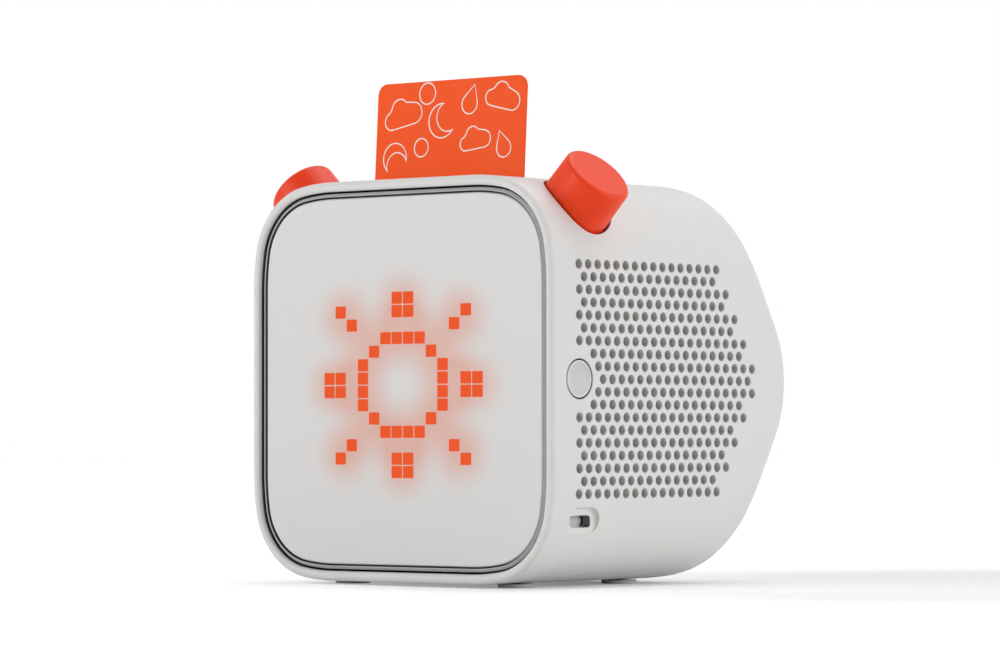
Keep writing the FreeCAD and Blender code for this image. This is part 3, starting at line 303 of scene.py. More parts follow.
def soft_sweep(name, section, closed=False):
    """Sweeps a section of insets and depths round the body's soft outline.

    The sweep runs up the straight side, round the three arcs of one corner and along the straight
    top to the middle. It is then mirrored to the other three quarters.
    """
    points = [at(HALF_WIDTH - inset, depth, 0) for inset, depth in section]
    piece = path_of_points(name, points)
    if closed:
        join_ends(piece)
    bpy.ops.mesh.select_all(action="SELECT")
    bpy.ops.mesh.extrude_region_move(TRANSFORM_OT_translate={"value": Vector((0, 0, FLAT_Z * MM))})
    arcs = (
        (SIDE_CENTRE, GENTLE_TURN, 4),
        (CORNER_CENTRE, math.pi / 2 - 2 * GENTLE_TURN, 18),
        (TOP_CENTRE, GENTLE_TURN, 4),
    )
    for centre, angle, steps in arcs:
        middle = at(centre.x, 0, centre.y)
        bpy.ops.mesh.spin(steps=steps, angle=angle, center=middle, axis=(0, 1, 0))
    bpy.ops.mesh.extrude_region_move(TRANSFORM_OT_translate={"value": Vector((-FLAT_X * MM, 0, 0))})
    leave()
    settle(piece)
    bpy.context.scene.cursor.location = at(0, 0, 0)
    bpy.ops.object.origin_set(type="ORIGIN_CURSOR")
    bpy.context.scene.cursor.location = (0, 0, 0)
    quarters = {"use_axis": (True, False, True), "use_mirror_merge": True, "merge_threshold": 1e-6}
    apply_modifier(piece, "MIRROR", **quarters)
    settle(piece)
    if not closed:
        close_openings(piece)
    return face_outward(piece)


def round_corner(middle, radius, start, end, steps):
    """Points of a section along an arc, as insets and depths."""
    return [
        (
            middle[0] + radius * math.cos(math.radians(start + (end - start) * step / steps)),
            middle[1] + radius * math.sin(math.radians(start + (end - start) * step / steps)),
        )
        for step in range(steps + 1)
    ]


def rear_cutter(inset):
    """What lies outside the body's side view behind its rounded ridge and leaning facets."""
    half = HALF_HEIGHT - inset
    ridge = RIDGE_RADIUS - inset
    edge = REAR_ROUND - inset
    middle = BODY_DEPTH - RIDGE_RADIUS
    edge_z = half - edge
    edge_y = middle + ((ridge - edge) - edge_z * math.sin(FACET_LEAN)) / math.cos(FACET_LEAN)
    edge_steps, ridge_steps = 16, 12
    upper = []
    for step in range(edge_steps + 1):
        turn = math.pi / 2 - (math.pi / 2 - FACET_LEAN) * step / edge_steps
        upper.append((edge_y + edge * math.cos(turn), edge_z + edge * math.sin(turn)))
    for step in range(ridge_steps + 1):
        turn = FACET_LEAN * (1 - step / ridge_steps)
        upper.append((middle + ridge * math.cos(turn), ridge * math.sin(turn)))
    lower = [(y, -z) for y, z in reversed(upper[:-1])]
    margin = 9.0
    beyond = half + margin
    behind = BODY_DEPTH + 12.0
    outline = [(edge_y, beyond), *upper, *lower, (edge_y, -beyond), (behind, -beyond), (behind, beyond)]
    width = HALF_WIDTH + margin
    points = [at(-width, y, z) for y, z in outline]
    piece = path_of_points("rear_cutter", points)
    bpy.ops.mesh.select_all(action="SELECT")
    bpy.ops.mesh.edge_face_add()
    bpy.ops.mesh.extrude_region_move(TRANSFORM_OT_translate={"value": Vector((2 * width * MM, 0, 0))})
    leave()
    settle(piece)
    return face_outward(piece)


def turned(name, profile, base, direction, sides):
    """A round form turned from a profile of radii and heights along an axis."""
    clear_selection()
    radius, height = profile[0]
    size = radius * MM
    bpy.ops.mesh.primitive_circle_add(vertices=sides, radius=size, fill_type="NGON", location=(0, 0, 0))
    piece = bpy.context.object
    piece.name = name
    edit(piece)
    bpy.ops.mesh.select_all(action="SELECT")
    bpy.ops.transform.translate(value=(0, 0, height * MM))
    for next_radius, next_height in profile[1:]:
        rise = Vector((0, 0, (next_height - height) * MM))
        bpy.ops.mesh.extrude_region_move(TRANSFORM_OT_translate={"value": rise})
        scale = next_radius / radius
        bpy.ops.transform.resize(value=(scale, scale, 1), center_override=(0, 0, next_height * MM))
        radius, height = next_radius, next_height
    leave()
    piece.rotation_euler = Vector((0, 0, 1)).rotation_difference(direction).to_euler()
    piece.location = base
    settle(piece)
    return face_outward(piece)


def turned_on_knob_axis(name, side, profile, sides):
    """A round form on the axis of a side's knob, with heights from the body's middle."""
    return turned(name, profile, at(0, KNOB_Y, 0), knob_axis(side), sides)


def turned_from_side(name, profile, sides):
    """A round form about the power button's axis, with heights from the right side wall."""
    return turned(name, profile, at(HALF_WIDTH, POWER_Y, 0), Vector((1, 0, 0)), sides)


def rounded_bar(name, width, height, radius, depth):
    """A bar with round corners, standing on the XY plane and centred on its Z axis."""
    clear_selection()
    bpy.ops.mesh.primitive_cube_add(size=1.0, location=(0, 0, depth * MM / 2))
    piece = bpy.context.object
    piece.name = name
    piece.scale = (width * MM, height * MM, depth * MM)
    settle(piece)
    select_edges(piece, lambda a, b, angle: abs(a.x - b.x) < 1e-7 and abs(a.y - b.y) < 1e-7)
    bpy.ops.mesh.bevel(offset=radius * MM, segments=8, affect="EDGES")
    leave()
    return piece


# Camera at the photograph's place

def make_camera():
    """A long lens at the place and tilt that were fitted to the photograph."""
    camera = bpy.data.cameras.new("camera")
    camera.lens = 157.06
    camera.sensor_width = 36.0
    camera.clip_start = 0.01
    camera.clip_end = 20.0
    stand = bpy.data.objects.new("camera", camera)
    bpy.context.scene.collection.objects.link(stand)
    turn = math.radians(41.0370)
    pitch = math.radians(-1.3631)
    roll = math.radians(-0.0567)
    back = Vector((math.sin(turn) * math.cos(pitch), -math.cos(turn) * math.cos(pitch), math.sin(pitch)))
    right = Vector((math.cos(turn), math.sin(turn), 0))
    up = back.cross(right)
    rolled_right = right * math.cos(roll) + up * math.sin(roll)
    rolled_up = up * math.cos(roll) - right * math.sin(roll)
    turned_frame = Matrix((rolled_right, rolled_up, back)).transposed().to_4x4()
    turned_frame.translation = Vector((788.32, -913.32, 39.905)) * MM
    stand.matrix_world = turned_frame
    bpy.context.scene.camera = stand


make_camera()


# Materials

# The colour sockets of a Mix node, whose names its other kinds share
MIX_FIRST = 6
MIX_SECOND = 7
MIX_RESULT = 2


def srgb(red, green, blue):
    """A colour as seen on screen, from 0 to 255, as the shader wants it."""

    def straighten(level):
        level = level / 255
        return level / 12.92 if level <= 0.04045 else ((level + 0.055) / 1.055) ** 2.4

    return (straighten(red), straighten(green), straighten(blue), 1.0)


class Finish:
    """A material built node by node, with its pattern on the piece's own coordinates."""

    def __init__(self, name, colour, roughness, **sockets):
        self.material = bpy.data.materials.new(name)
        self.material.use_nodes = True
        self.tree = self.material.node_tree
        self.shader = self.tree.nodes["Principled BSDF"]
        self.shader.inputs["Base Color"].default_value = colour
        self.shader.inputs["Roughness"].default_value = roughness
        for socket, value in sockets.items():
            self.shader.inputs[socket.replace("_", " ")].default_value = value
        self.place = self.add("ShaderNodeTexCoord").outputs["Object"]

    def add(self, kind, **settings):
        node = self.tree.nodes.new(kind)
        for name, value in settings.items():
            setattr(node, name, value)
        return node

    def link(self, source, target):
        self.tree.links.new(source, target)

    def noise(self, scale, detail=3.0, roughness=0.5):
        node = self.add("ShaderNodeTexNoise")
        node.inputs["Scale"].default_value = scale
        node.inputs["Detail"].default_value = detail
        node.inputs["Roughness"].default_value = roughness
        self.link(self.place, node.inputs["Vector"])
        return node.outputs["Fac"]

    def spread(self, source, low, high, source_low=0.3, source_high=0.7):
        node = self.add("ShaderNodeMapRange")
        node.inputs["From Min"].default_value = source_low
        node.inputs["From Max"].default_value = source_high
        node.inputs["To Min"].default_value = low
        node.inputs["To Max"].default_value = high
        self.link(source, node.inputs["Value"])
        return node.outputs["Result"]

    def vary_colour(self, source, first, second):
        node = self.add("ShaderNodeMix", data_type="RGBA")
        self.link(source, node.inputs["Factor"])
        node.inputs[MIX_FIRST].default_value = first
        node.inputs[MIX_SECOND].default_value = second
        self.link(node.outputs[MIX_RESULT], self.shader.inputs["Base Color"])

    def vary_roughness(self, source, low, high):
        self.link(self.spread(source, low, high), self.shader.inputs["Roughness"])

    def emboss(self, source, strength, distance):
        node = self.add("ShaderNodeBump")
        node.inputs["Strength"].default_value = strength
        node.inputs["Distance"].default_value = distance
        self.link(source, node.inputs["Height"])
        self.link(node.outputs["Normal"], self.shader.inputs["Normal"])


def shade(colour, factor):
    """A colour made lighter or darker by a factor."""
    return (*[min(1.0, level * factor) for level in colour[:3]], 1.0)


def moulded_plastic(name, colour, roughness=0.5, grain=2600.0, relief=0.05, **sockets):
    """Fine spark-eroded grain, slight tone changes and a little wear in the sheen."""
    finish = Finish(name, colour, roughness, **sockets)
    finish.vary_colour(finish.noise(26.0), shade(colour, 0.985), shade(colour, 1.01))
    finish.vary_roughness(finish.noise(60.0, 4.0), roughness - 0.04, roughness + 0.05)
    finish.emboss(finish.noise(grain, 2.0), relief, 0.00005)
    return finish.material


def woven_cloth(name, colour):
    """Plain weave of fine threads."""
    finish = Finish(name, colour, 0.9)
    waves = []
    for axis in ("Y", "Z"):
        wave = finish.add("ShaderNodeTexWave", wave_type="BANDS", bands_direction=axis)
        wave.inputs["Scale"].default_value = 600.0
        wave.inputs["Distortion"].default_value = 0.6
        finish.link(finish.place, wave.inputs["Vector"])
        waves.append(wave.outputs["Fac"])
    blend = finish.add("ShaderNodeMath", operation="MULTIPLY")
    for index, wave in enumerate(waves):
        finish.link(wave, blend.inputs[index])
    finish.vary_colour(blend.outputs["Value"], shade(colour, 0.6), shade(colour, 1.5))
    finish.emboss(blend.outputs["Value"], 0.6, 0.0001)
    return finish.material


def drawn_metal(name, colour, roughness=0.32):
    """Sheet metal with fine drawing marks along one way."""
    finish = Finish(name, colour, roughness, Metallic=1.0)
    stretch = finish.add("ShaderNodeMapping")
    stretch.inputs["Scale"].default_value = (120.0, 3000.0, 3000.0)
    finish.link(finish.place, stretch.inputs["Vector"])
    marks = finish.add("ShaderNodeTexNoise")
    marks.inputs["Scale"].default_value = 1.0
    marks.inputs["Detail"].default_value = 2.0
    finish.link(stretch.outputs["Vector"], marks.inputs["Vector"])
    finish.vary_colour(marks.outputs["Fac"], shade(colour, 0.9), shade(colour, 1.08))
    finish.vary_roughness(marks.outputs["Fac"], roughness - 0.08, roughness + 0.1)
    finish.emboss(marks.outputs["Fac"], 0.08, 0.00003)
    return finish.material


def soft_foam(name, colour):
    """Open pores in soft foam or pressed paper."""
    finish = Finish(name, colour, 0.85)
    pores = finish.add("ShaderNodeTexVoronoi")
    pores.inputs["Scale"].default_value = 2200.0
    finish.link(finish.place, pores.inputs["Vector"])
    finish.vary_colour(pores.outputs["Distance"], shade(colour, 0.7), shade(colour, 1.2))
    finish.emboss(pores.outputs["Distance"], 0.4, 0.0001)
    return finish.material


def circuit_laminate(name, colour):
    """Solder mask over a faint pattern of tracks."""
    finish = Finish(name, colour, 0.35)
    tracks = finish.add("ShaderNodeTexBrick")
    tracks.inputs["Scale"].default_value = 180.0
    tracks.inputs["Mortar Size"].default_value = 0.06
    tracks.inputs["Color1"].default_value = colour
    tracks.inputs["Color2"].default_value = shade(colour, 1.25)
    tracks.inputs["Mortar"].default_value = shade(colour, 0.6)
    finish.link(finish.place, tracks.inputs["Vector"])
    finish.link(tracks.outputs["Color"], finish.shader.inputs["Base Color"])
    finish.emboss(tracks.outputs["Fac"], 0.15, 0.00003)
    finish.vary_roughness(finish.noise(200.0), 0.28, 0.42)
    return finish.material


WHITE = srgb(223, 222, 220)
ORANGE = srgb(242, 62, 10)
CARD_ORANGE = srgb(255, 88, 20)

white_shell = moulded_plastic("white_shell", WHITE, 0.5)
# Painted shade: a greyer white for the button's dish.
painted_dish_shade = moulded_plastic("painted_dish_shade", srgb(204, 203, 201), 0.36, relief=0.02)
trim_plastic = moulded_plastic("trim_plastic", srgb(186, 186, 185), 0.3, relief=0.02)
knob_plastic = moulded_plastic(
    "knob_plastic", ORANGE, 0.42, grain=3200.0, relief=0.06, Specular_IOR_Level=0.26
)
# Grey of the inner plastic parts. It is also put on the walls of the slot in the socket's floor as painted
# shade.
inner_grey_and_painted_slot_shade = moulded_plastic("inner_grey_and_painted_slot_shade", srgb(120, 120, 122), 0.6)
# Painted shade: a dark grey put where shade falls, on the walls of the gaps round the display and the button,
# and on the sides of the bezel, the display plate and the button cap.
painted_gap_shade = moulded_plastic("painted_gap_shade", srgb(74, 74, 73), 0.6)
black_plastic = moulded_plastic("black_plastic", srgb(26, 26, 27), 0.5)
tongue_plastic = moulded_plastic("tongue_plastic", srgb(225, 225, 224), 0.45)
foot_pad_rubber = moulded_plastic("foot_pad_rubber", srgb(190, 190, 188), 0.7, grain=1800.0, relief=0.12)
diffuser_film = moulded_plastic("diffuser_film", srgb(240, 240, 238), 0.7)
battery_sleeve = moulded_plastic("battery_sleeve", srgb(60, 90, 150), 0.4)
cloth = woven_cloth("speaker_cloth", srgb(34, 34, 35))
foam = soft_foam("black_foam", srgb(30, 30, 31))
cone_paper = soft_foam("cone_paper", srgb(44, 44, 45))
sheet_steel = drawn_metal("sheet_steel", srgb(190, 190, 190))
socket_steel = drawn_metal("socket_steel", srgb(190, 190, 190))
laminate = circuit_laminate("board_laminate", srgb(24, 84, 48))


def paint_socket_shade(material, mouth, start, end):
    """Paints shade inside the socket: a piece's colour goes dark from a depth behind its outer end."""
    tree = material.node_tree
    shader = tree.nodes["Principled BSDF"]
    colour = shader.inputs["Base Color"].links[0].from_socket
    place = tree.nodes.new("ShaderNodeTexCoord")
    parts = tree.nodes.new("ShaderNodeSeparateXYZ")
    tree.links.new(place.outputs["Object"], parts.inputs["Vector"])
    depth = tree.nodes.new("ShaderNodeMapRange")
    depth.inputs["From Min"].default_value = mouth - end * MM
    depth.inputs["From Max"].default_value = mouth - start * MM
    tree.links.new(parts.outputs["X"], depth.inputs["Value"])
    blend = tree.nodes.new("ShaderNodeMix")
    blend.data_type = "RGBA"
    blend.inputs[MIX_FIRST].default_value = srgb(34, 34, 34)
    tree.links.new(depth.outputs["Result"], blend.inputs["Factor"])
    tree.links.new(colour, blend.inputs[MIX_SECOND])
    tree.links.new(blend.outputs[MIX_RESULT], shader.inputs["Base Color"])


# Painted shade: the socket's shell and tongue go dark inside, where shade falls.
paint_socket_shade(socket_steel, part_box("usb_shell")[1][0], 0.1, 0.35)
paint_socket_shade(tongue_plastic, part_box("usb_tongue")[1][0], 0.25, 0.6)


# The halo on the display, in cells from the icon's middle
SUN_RING = 3.6
SUN_RAYS = ((0.0, 0.0, 6.0), (6.0, 0.0, 0.0), (5.0, 0.0, 5.0))
HALO_REACH = 3.3
HALO_LEVEL = 0.72


def cells_from_middle(finish):
    """The place on the display, counted in cells from the icon's middle."""
    shift = finish.add("ShaderNodeVectorMath", operation="SUBTRACT")
    shift.inputs[1].default_value = at(*ICON_MIDDLE)
    finish.link(finish.place, shift.inputs[0])
    flat = finish.add("ShaderNodeVectorMath", operation="MULTIPLY")
    flat.inputs[1].default_value = (1 / CELL_PITCH[0] / MM, 0.0, 1 / CELL_PITCH[1] / MM)
    finish.link(shift.outputs["Vector"], flat.inputs[0])
    return flat.outputs["Vector"]


def lit_glow(finish):
    """The halo round the lit cells: one round the sun's ring and one at each of its eight rays."""
    quarter = finish.add("ShaderNodeVectorMath", operation="ABSOLUTE")
    finish.link(cells_from_middle(finish), quarter.inputs[0])
    reach = finish.add("ShaderNodeVectorMath", operation="LENGTH")
    finish.link(quarter.outputs["Vector"], reach.inputs[0])
    beside = finish.add("ShaderNodeMath", operation="SUBTRACT")
    beside.inputs[1].default_value = SUN_RING
    finish.link(reach.outputs["Value"], beside.inputs[0])
    off_ring = finish.add("ShaderNodeMath", operation="ABSOLUTE")
    finish.link(beside.outputs["Value"], off_ring.inputs[0])
    distances = [off_ring.outputs["Value"]]
    for ray in SUN_RAYS:
        span = finish.add("ShaderNodeVectorMath", operation="DISTANCE")
        span.inputs[1].default_value = ray
        finish.link(quarter.outputs["Vector"], span.inputs[0])
        distances.append(span.outputs["Value"])
    total = None
    for distance in distances:
        halo = finish.add("ShaderNodeMapRange", interpolation_type="SMOOTHSTEP")
        halo.inputs["From Min"].default_value = 0.0
        halo.inputs["From Max"].default_value = HALO_REACH
        halo.inputs["To Min"].default_value = HALO_LEVEL
        halo.inputs["To Max"].default_value = 0.0
        finish.link(distance, halo.inputs["Value"])
        if total:
            add = finish.add("ShaderNodeMath", operation="ADD")
            finish.link(total, add.inputs[0])
            finish.link(halo.outputs["Result"], add.inputs[1])
            total = add.outputs["Value"]
        else:
            total = halo.outputs["Result"]
    limit = finish.add("ShaderNodeMath", operation="MINIMUM")
    limit.inputs[1].default_value = HALO_LEVEL
    finish.link(total, limit.inputs[0])
    return limit.outputs["Value"]


def display_finish():
    """Milky display plate with the soft glow of the lit cells behind it."""
    colour = srgb(222, 221, 219)
    glow = srgb(227, 160, 140)
    finish = Finish("display_plate", colour, 0.34, Specular_IOR_Level=0.35)
    uneven = finish.add("ShaderNodeMath", operation="MULTIPLY")
    finish.link(lit_glow(finish), uneven.inputs[0])
    finish.link(finish.spread(finish.noise(90.0, 2.0), 0.94, 1.05), uneven.inputs[1])
    # Painted light: the glow of the lit cells is painted into the plate's base colour.
    finish.vary_colour(uneven.outputs["Value"], colour, glow)
    finish.vary_roughness(finish.noise(40.0, 3.0), 0.3, 0.4)
    finish.emboss(finish.noise(1800.0, 2.0), 0.02, 0.00003)
    return finish.material


def lit_cell_finish():
    """A lit cell: even orange light that pales towards the cell's edges."""
    finish = Finish("lit_cells", (0.0, 0.0, 0.0, 1.0), 0.5, Specular_IOR_Level=0.0)
    within = finish.add("ShaderNodeVectorMath", operation="FRACTION")
    finish.link(cells_from_middle(finish), within.inputs[0])
    centred = finish.add("ShaderNodeVectorMath", operation="SUBTRACT")
    centred.inputs[1].default_value = (0.5, 0.0, 0.5)
    finish.link(within.outputs["Vector"], centred.inputs[0])
    beside = finish.add("ShaderNodeVectorMath", operation="ABSOLUTE")
    finish.link(centred.outputs["Vector"], beside.inputs[0])
    parts = finish.add("ShaderNodeSeparateXYZ")
    finish.link(beside.outputs["Vector"], parts.inputs["Vector"])
    widest = finish.add("ShaderNodeMath", operation="MAXIMUM")
    finish.link(parts.outputs["X"], widest.inputs[0])
    finish.link(parts.outputs["Z"], widest.inputs[1])
    edge = finish.spread(widest.outputs["Value"], 0.0, 1.0, 0.36, 0.47)
    uneven = finish.add("ShaderNodeMath", operation="MULTIPLY_ADD")
    uneven.inputs[1].default_value = 0.12
    finish.link(finish.noise(700.0, 2.0), uneven.inputs[0])
    finish.link(edge, uneven.inputs[2])
    light = finish.add("ShaderNodeMix", data_type="RGBA")
    light.inputs[MIX_FIRST].default_value = srgb(236, 89, 47)
    light.inputs[MIX_SECOND].default_value = srgb(232, 101, 66)
    finish.link(uneven.outputs["Value"], light.inputs["Factor"])
    finish.link(light.outputs[MIX_RESULT], finish.shader.inputs["Emission Color"])
    finish.shader.inputs["Emission Strength"].default_value = 1.0
    return finish.material


# Housing

def grille_holes(side):
    """Middles of the staggered holes. On the right, those too near to the button are left out."""
    row_pitch = GRILLE_PITCH * math.sqrt(3) / 2
    places = []
    for row in range(-GRILLE_OUTER_ROW, GRILLE_OUTER_ROW + 1):
        shift = 0.5 if row % 2 == 0 else 0.0
        last = GRILLE_PITCHES - abs(row) / 2 - 2 * shift
        step = shift
        while step <= last:
            depth = GRILLE_FIRST_Y + GRILLE_PITCH * step
            height = row_pitch * row
            if side < 0 or math.hypot(depth - POWER_Y, height) > BUTTON_LAND:
                places.append((depth, height))
            step += 1
    return places


def side_surface(height):
    """How far out the side wall stands at a height from the body's middle."""
    past = max(0.0, abs(height) - FLAT_Z)
    return HALF_WIDTH - BLEND_RADIUS + math.sqrt(BLEND_RADIUS**2 - past**2)


def hole_cutters(side):
    """A slightly flared drill for each hole of a grille, all in one piece."""
    profile = [(HOLE_RADIUS, -5.0), (HOLE_RADIUS, -0.14), (1.44, 0.0), (1.54, 0.1), (1.54, 1.0)]
    drill = turned("grille_drill", profile, Vector((0, 0, 0)), Vector((side, 0, 0)), 20)
    copies = []
    for depth, height in grille_holes(side):
        copy = copy_of(drill)
        copy.location = at(side * side_surface(height), depth, height)
        copies.append(copy)
    bpy.data.objects.remove(drill, do_unlink=True)
    return join_pieces(copies)


def card_slot_cutter():
    """The slot in the top, which leans as the card does."""
    half_length = 12.0
    slot = rounded_bar("slot_cutter", 56.0, 2.0, 0.9, 2 * half_length)
    slot.rotation_euler = (-CARD_LEAN, 0, 0)
    slot.location = at(0, SLOT_Y - half_length * math.sin(CARD_LEAN), HALF_HEIGHT - half_length)
    return settle(slot)


def turn_to_side(piece, depth):
    """Turns an upright bar to point out of the right side, with its foot at the socket's place."""
    piece.rotation_euler = (math.pi / 2, 0, math.pi / 2)
    piece.location = at(depth, SOCKET_Y, SOCKET_Z)
    return settle(piece)


def socket_cutters():
    """The socket's oval recess with a rounded floor, and the slot in its floor."""
    recess = rounded_bar("recess_cutter", 12.9, 7.4, 3.65, 6.0)
    select_faces(recess, lambda place, normal: normal.z < -0.9)
    bpy.ops.mesh.bevel(offset=0.8 * MM, segments=5, affect="EDGES")
    leave()
    slot = rounded_bar("socket_cutter", 8.4, 3.2, 0.95, 8.0)
    return turn_to_side(recess, SOCKET_FLOOR), turn_to_side(slot, SOCKET_FLOOR - 3.0)


def housing_cavity():
    """The room inside the walls, less what surrounds the knob cups and the socket."""
    cavity = soft_sweep("housing_cavity", [(WALL, 6.0), (WALL, SWEEP_END)])
    carve(cavity, rear_cutter(WALL))
    for side in (1, -1):
        carve(cavity, turned_on_knob_axis("cup_blank", side, [(12.1, 59.4), (12.1, 90.0)], 64))
    boss = rounded_bar("socket_boss", 14.9, 9.4, 0.5, 12.0)
    return carve(cavity, turn_to_side(boss, SOCKET_FLOOR - 3.8))


def build_housing():
    """The moulded body in one piece: lip, walls, knob cups, slots, recess and holes."""
    lip = [(WALL, OPENING_DEPTH)]
    lip += round_corner((WALL - LIP_INNER, LIP_INNER), LIP_INNER, 0, -90, 7)
    lip += round_corner((LIP_OUTER, LIP_OUTER), LIP_OUTER, -90, -180, 8) + [(0.0, SWEEP_END)]
    shell = soft_sweep("housing", lip)
    carve(shell, rear_cutter(0.0))
    carve(shell, housing_cavity())
    crest = select_edges(shell, is_rear_rim)
    if crest:
        bpy.ops.mesh.bevel(offset=REAR_EASE * MM, segments=3, affect="EDGES", clamp_overlap=True)
    leave()
    for side in (1, -1):
        carve(shell, turned_on_knob_axis("cup_bore", side, [(CUP_RADIUS, CUP_FLOOR), (CUP_RADIUS, 90.0)], 96))
        carve(shell, turned_on_knob_axis("shaft_hole", side, [(3.5, 50.0), (3.5, 70.0)], 32))
    select_edges(shell, is_cup_rim)
    bpy.ops.mesh.bevel(offset=0.22 * MM, segments=3, affect="EDGES", clamp_overlap=True)
    leave()
    carve(shell, card_slot_cutter())
    for cutter in socket_cutters():
        carve(shell, cutter)
    eased = [(POWER_HOLE, -6.0), (POWER_HOLE, -0.2), (5.55, 0.0), (5.65, 0.1), (5.65, 2.0)]
    carve(shell, turned_from_side("power_bore", eased, 64))
    close_openings(shell)
    for side in (1, -1):
        carve(shell, hole_cutters(side), solver="MANIFOLD")
    face_outward(shell)
    smooth(shell)
    finish_piece(
        shell, "player_housing", white_shell, "player", "housing_white",
        "housing_shell", "right_grille", "left_grille",
    )
    # Painted shade: the walls of the display's gap behind the lip and of the button's gap are painted dark.
    paint_faces(shell, painted_gap_shade, is_gap_wall)
    # Painted shade: the walls of the slot in the socket's floor are painted mid grey.
    paint_faces(shell, inner_grey_and_painted_slot_shade, is_socket_slot)


def is_gap_wall(place, normal):
    """Whether a face lines the display's gap behind the lip, or the button's gap below its rim."""
    if LIP_INNER < place.y < OPENING_DEPTH and -3.0 < outline_distance(place.x, place.z) < -2.4:
        return True
    if place.x < 48 or abs(normal.x) > 0.3:
        return False
    return math.hypot(place.y - POWER_Y, place.z) < POWER_HOLE + 0.1


def is_socket_slot(place, normal):
    """Whether a face lines the slot in the floor of the socket's recess."""
    across, up = abs(place.y - SOCKET_Y), abs(place.z - SOCKET_Z)
    return 46 < place.x < SOCKET_FLOOR - 0.1 and across < 4.4 and up < 1.8 and abs(normal.x) < 0.3


def is_rear_rim(start, end, angle):
    """Whether an edge is where the side walls meet the rear, on the outside."""
    if angle < math.radians(26):
        return False
    for point in (start, end):
        place = point / MM - DRAWING_ORIGIN
        inside = outline_distance(place.x, place.z) < -0.05
        if place.y < OPENING_DEPTH or abs(place.x) < 36 or inside:
            return False
    return True


def outline_distance(x, z):
    """Distance outward from the body's outline in the front view; negative inside."""
    x, z = abs(x), abs(z)
    if z <= FLAT_Z:
        return x - HALF_WIDTH
    if x <= FLAT_X:
        return z - HALF_HEIGHT
    from_side = Vector((x, z)) - SIDE_CENTRE
    from_top = Vector((x, z)) - TOP_CENTRE
    if math.atan2(from_side.y, from_side.x) <= GENTLE_TURN:
        return from_side.length - BLEND_RADIUS
    if math.atan2(from_top.x, from_top.y) <= GENTLE_TURN:
        return from_top.length - BLEND_RADIUS
    return (Vector((x, z)) - CORNER_CENTRE).length - CORNER_RADIUS


def is_cup_rim(start, end, angle):
    """Whether an edge is the outer rim of a knob's recess."""
    if angle < math.radians(35):
        return False
    for point in (start, end):
        place = point / MM - DRAWING_ORIGIN
        side = 1 if place.x > 0 else -1
        axis = knob_axis(side)
        offset = Vector((place.x, place.y - KNOB_Y, place.z))
        reach = offset.dot(axis)
        if reach < 62 or abs((offset - axis * reach).length - CUP_RADIUS) > 0.06:
            return False
    return True


# Display

def build_bezel():
    """The trim ring, with a sloped front between the lip and the display plate."""
    section = [(BEZEL_FLANGE, 5.2), (BEZEL_OUTSIDE, 5.2), (BEZEL_OUTSIDE, 1.8), (BEZEL_OUTSIDE + 0.08, 1.64)]
    section += [(BEZEL_OUTSIDE + 0.25, 1.52), (BEZEL_INSIDE - 0.3, 1.14)]
    section += round_corner((BEZEL_INSIDE - 0.2, 1.25), 0.2, 270, 360, 3)
    section += [(BEZEL_INSIDE, 3.7), (BEZEL_FLANGE, 3.7)]
    bezel = soft_sweep("bezel", section, closed=True)
    smooth(bezel)
    finish_piece(bezel, "display_bezel", trim_plastic, "player", "housing_white", "bezel_ring")
    # Painted shade: the bezel's sides in the gaps and its back are painted dark.
    paint_faces(bezel, painted_gap_shade, is_bezel_side)


def is_bezel_side(place, normal):
    """Whether a face of the bezel looks into a gap beside it, or lies behind its front.

    A face without area has no normal, and is passed over.
    """
    return place.y > 1.75 or normal.length > 0 and abs(normal.y) < 0.2


def build_display_plate():
    """The plate in front of the display, with a rounded edge."""
    edge = [(LENS_OUTSIDE, 3.3)] + round_corner((LENS_OUTSIDE + 0.6, 1.9), 0.6, 180, 270, 6)
    plate = soft_sweep("display_plate", edge)
    smooth(plate)
    finish_piece(plate, "display_panel", display_finish(), "player", "display_plate", "display_lens")
    # Painted shade: the plate's edge behind its front is painted dark.
    paint_faces(plate, painted_gap_shade, lambda place, normal: place.y > 1.95)


SUN = (
    "......##......",
    ".#....##....#.",
    "..#........#..",
    ".....####.....",
    "....#....#....",
    "...#......#...",
    "##.#......#.##",
    "##.#......#.##",
    "...#......#...",
    "....#....#....",
    ".....####.....",
    "..#........#..",
    ".#....##....#.",
    "......##......",
)


def build_icon():
    """A pixel sun: one softly cornered cell, copied to each lit place."""
    thickness = 0.04
    cell = rounded_bar("cell", CELL_SIZE[0], CELL_SIZE[1], 0.28, thickness)
    middle = (len(SUN) - 1) / 2
    copies = []
    for row, line in enumerate(SUN):
        for column, mark in enumerate(line):
            if mark != "#":
                continue
            copy = copy_of(cell)
            copy.rotation_euler = (math.pi / 2, 0, 0)
            x = ICON_MIDDLE[0] + (column - middle) * CELL_PITCH[0]
            z = ICON_MIDDLE[2] + (middle - row) * CELL_PITCH[1]
            copy.location = at(x, ICON_MIDDLE[1] + thickness / 2, z)
            copies.append(copy)
    bpy.data.objects.remove(cell, do_unlink=True)
    icon = join_pieces(copies)
    finish_piece(icon, "display_cells", lit_cell_finish(), "player", "display_plate")


# Knobs, button and feet

def build_knob(side, label):
    """A tapered cap with a softly rounded top edge and a blind bore."""
    round_radius = 1.38
    top_radius = 9.68
    round_steps = 8
    profile = [(KNOB_RADIUS, KNOB_BOTTOM)]
    for step in range(round_steps + 1):
        turn = math.pi / 2 * step / round_steps
        radius = top_radius - round_radius + round_radius * math.cos(turn)
        profile.append((radius, KNOB_TOP - round_radius + round_radius * math.sin(turn)))
    profile.append((4.0, KNOB_TOP - 0.01))
    knob = turned_on_knob_axis(f"{label}_knob", side, profile, 128)
    bore = [(3.0, KNOB_BOTTOM - 1), (3.0, KNOB_BOTTOM + 9.0)]
    carve(knob, turned_on_knob_axis("knob_bore", side, bore, 39))
    smooth(knob, 35.0)
    finish_piece(knob, f"{label}_knob_cap", knob_plastic, f"{label}_dial", "knob_orange", f"{label}_knob")


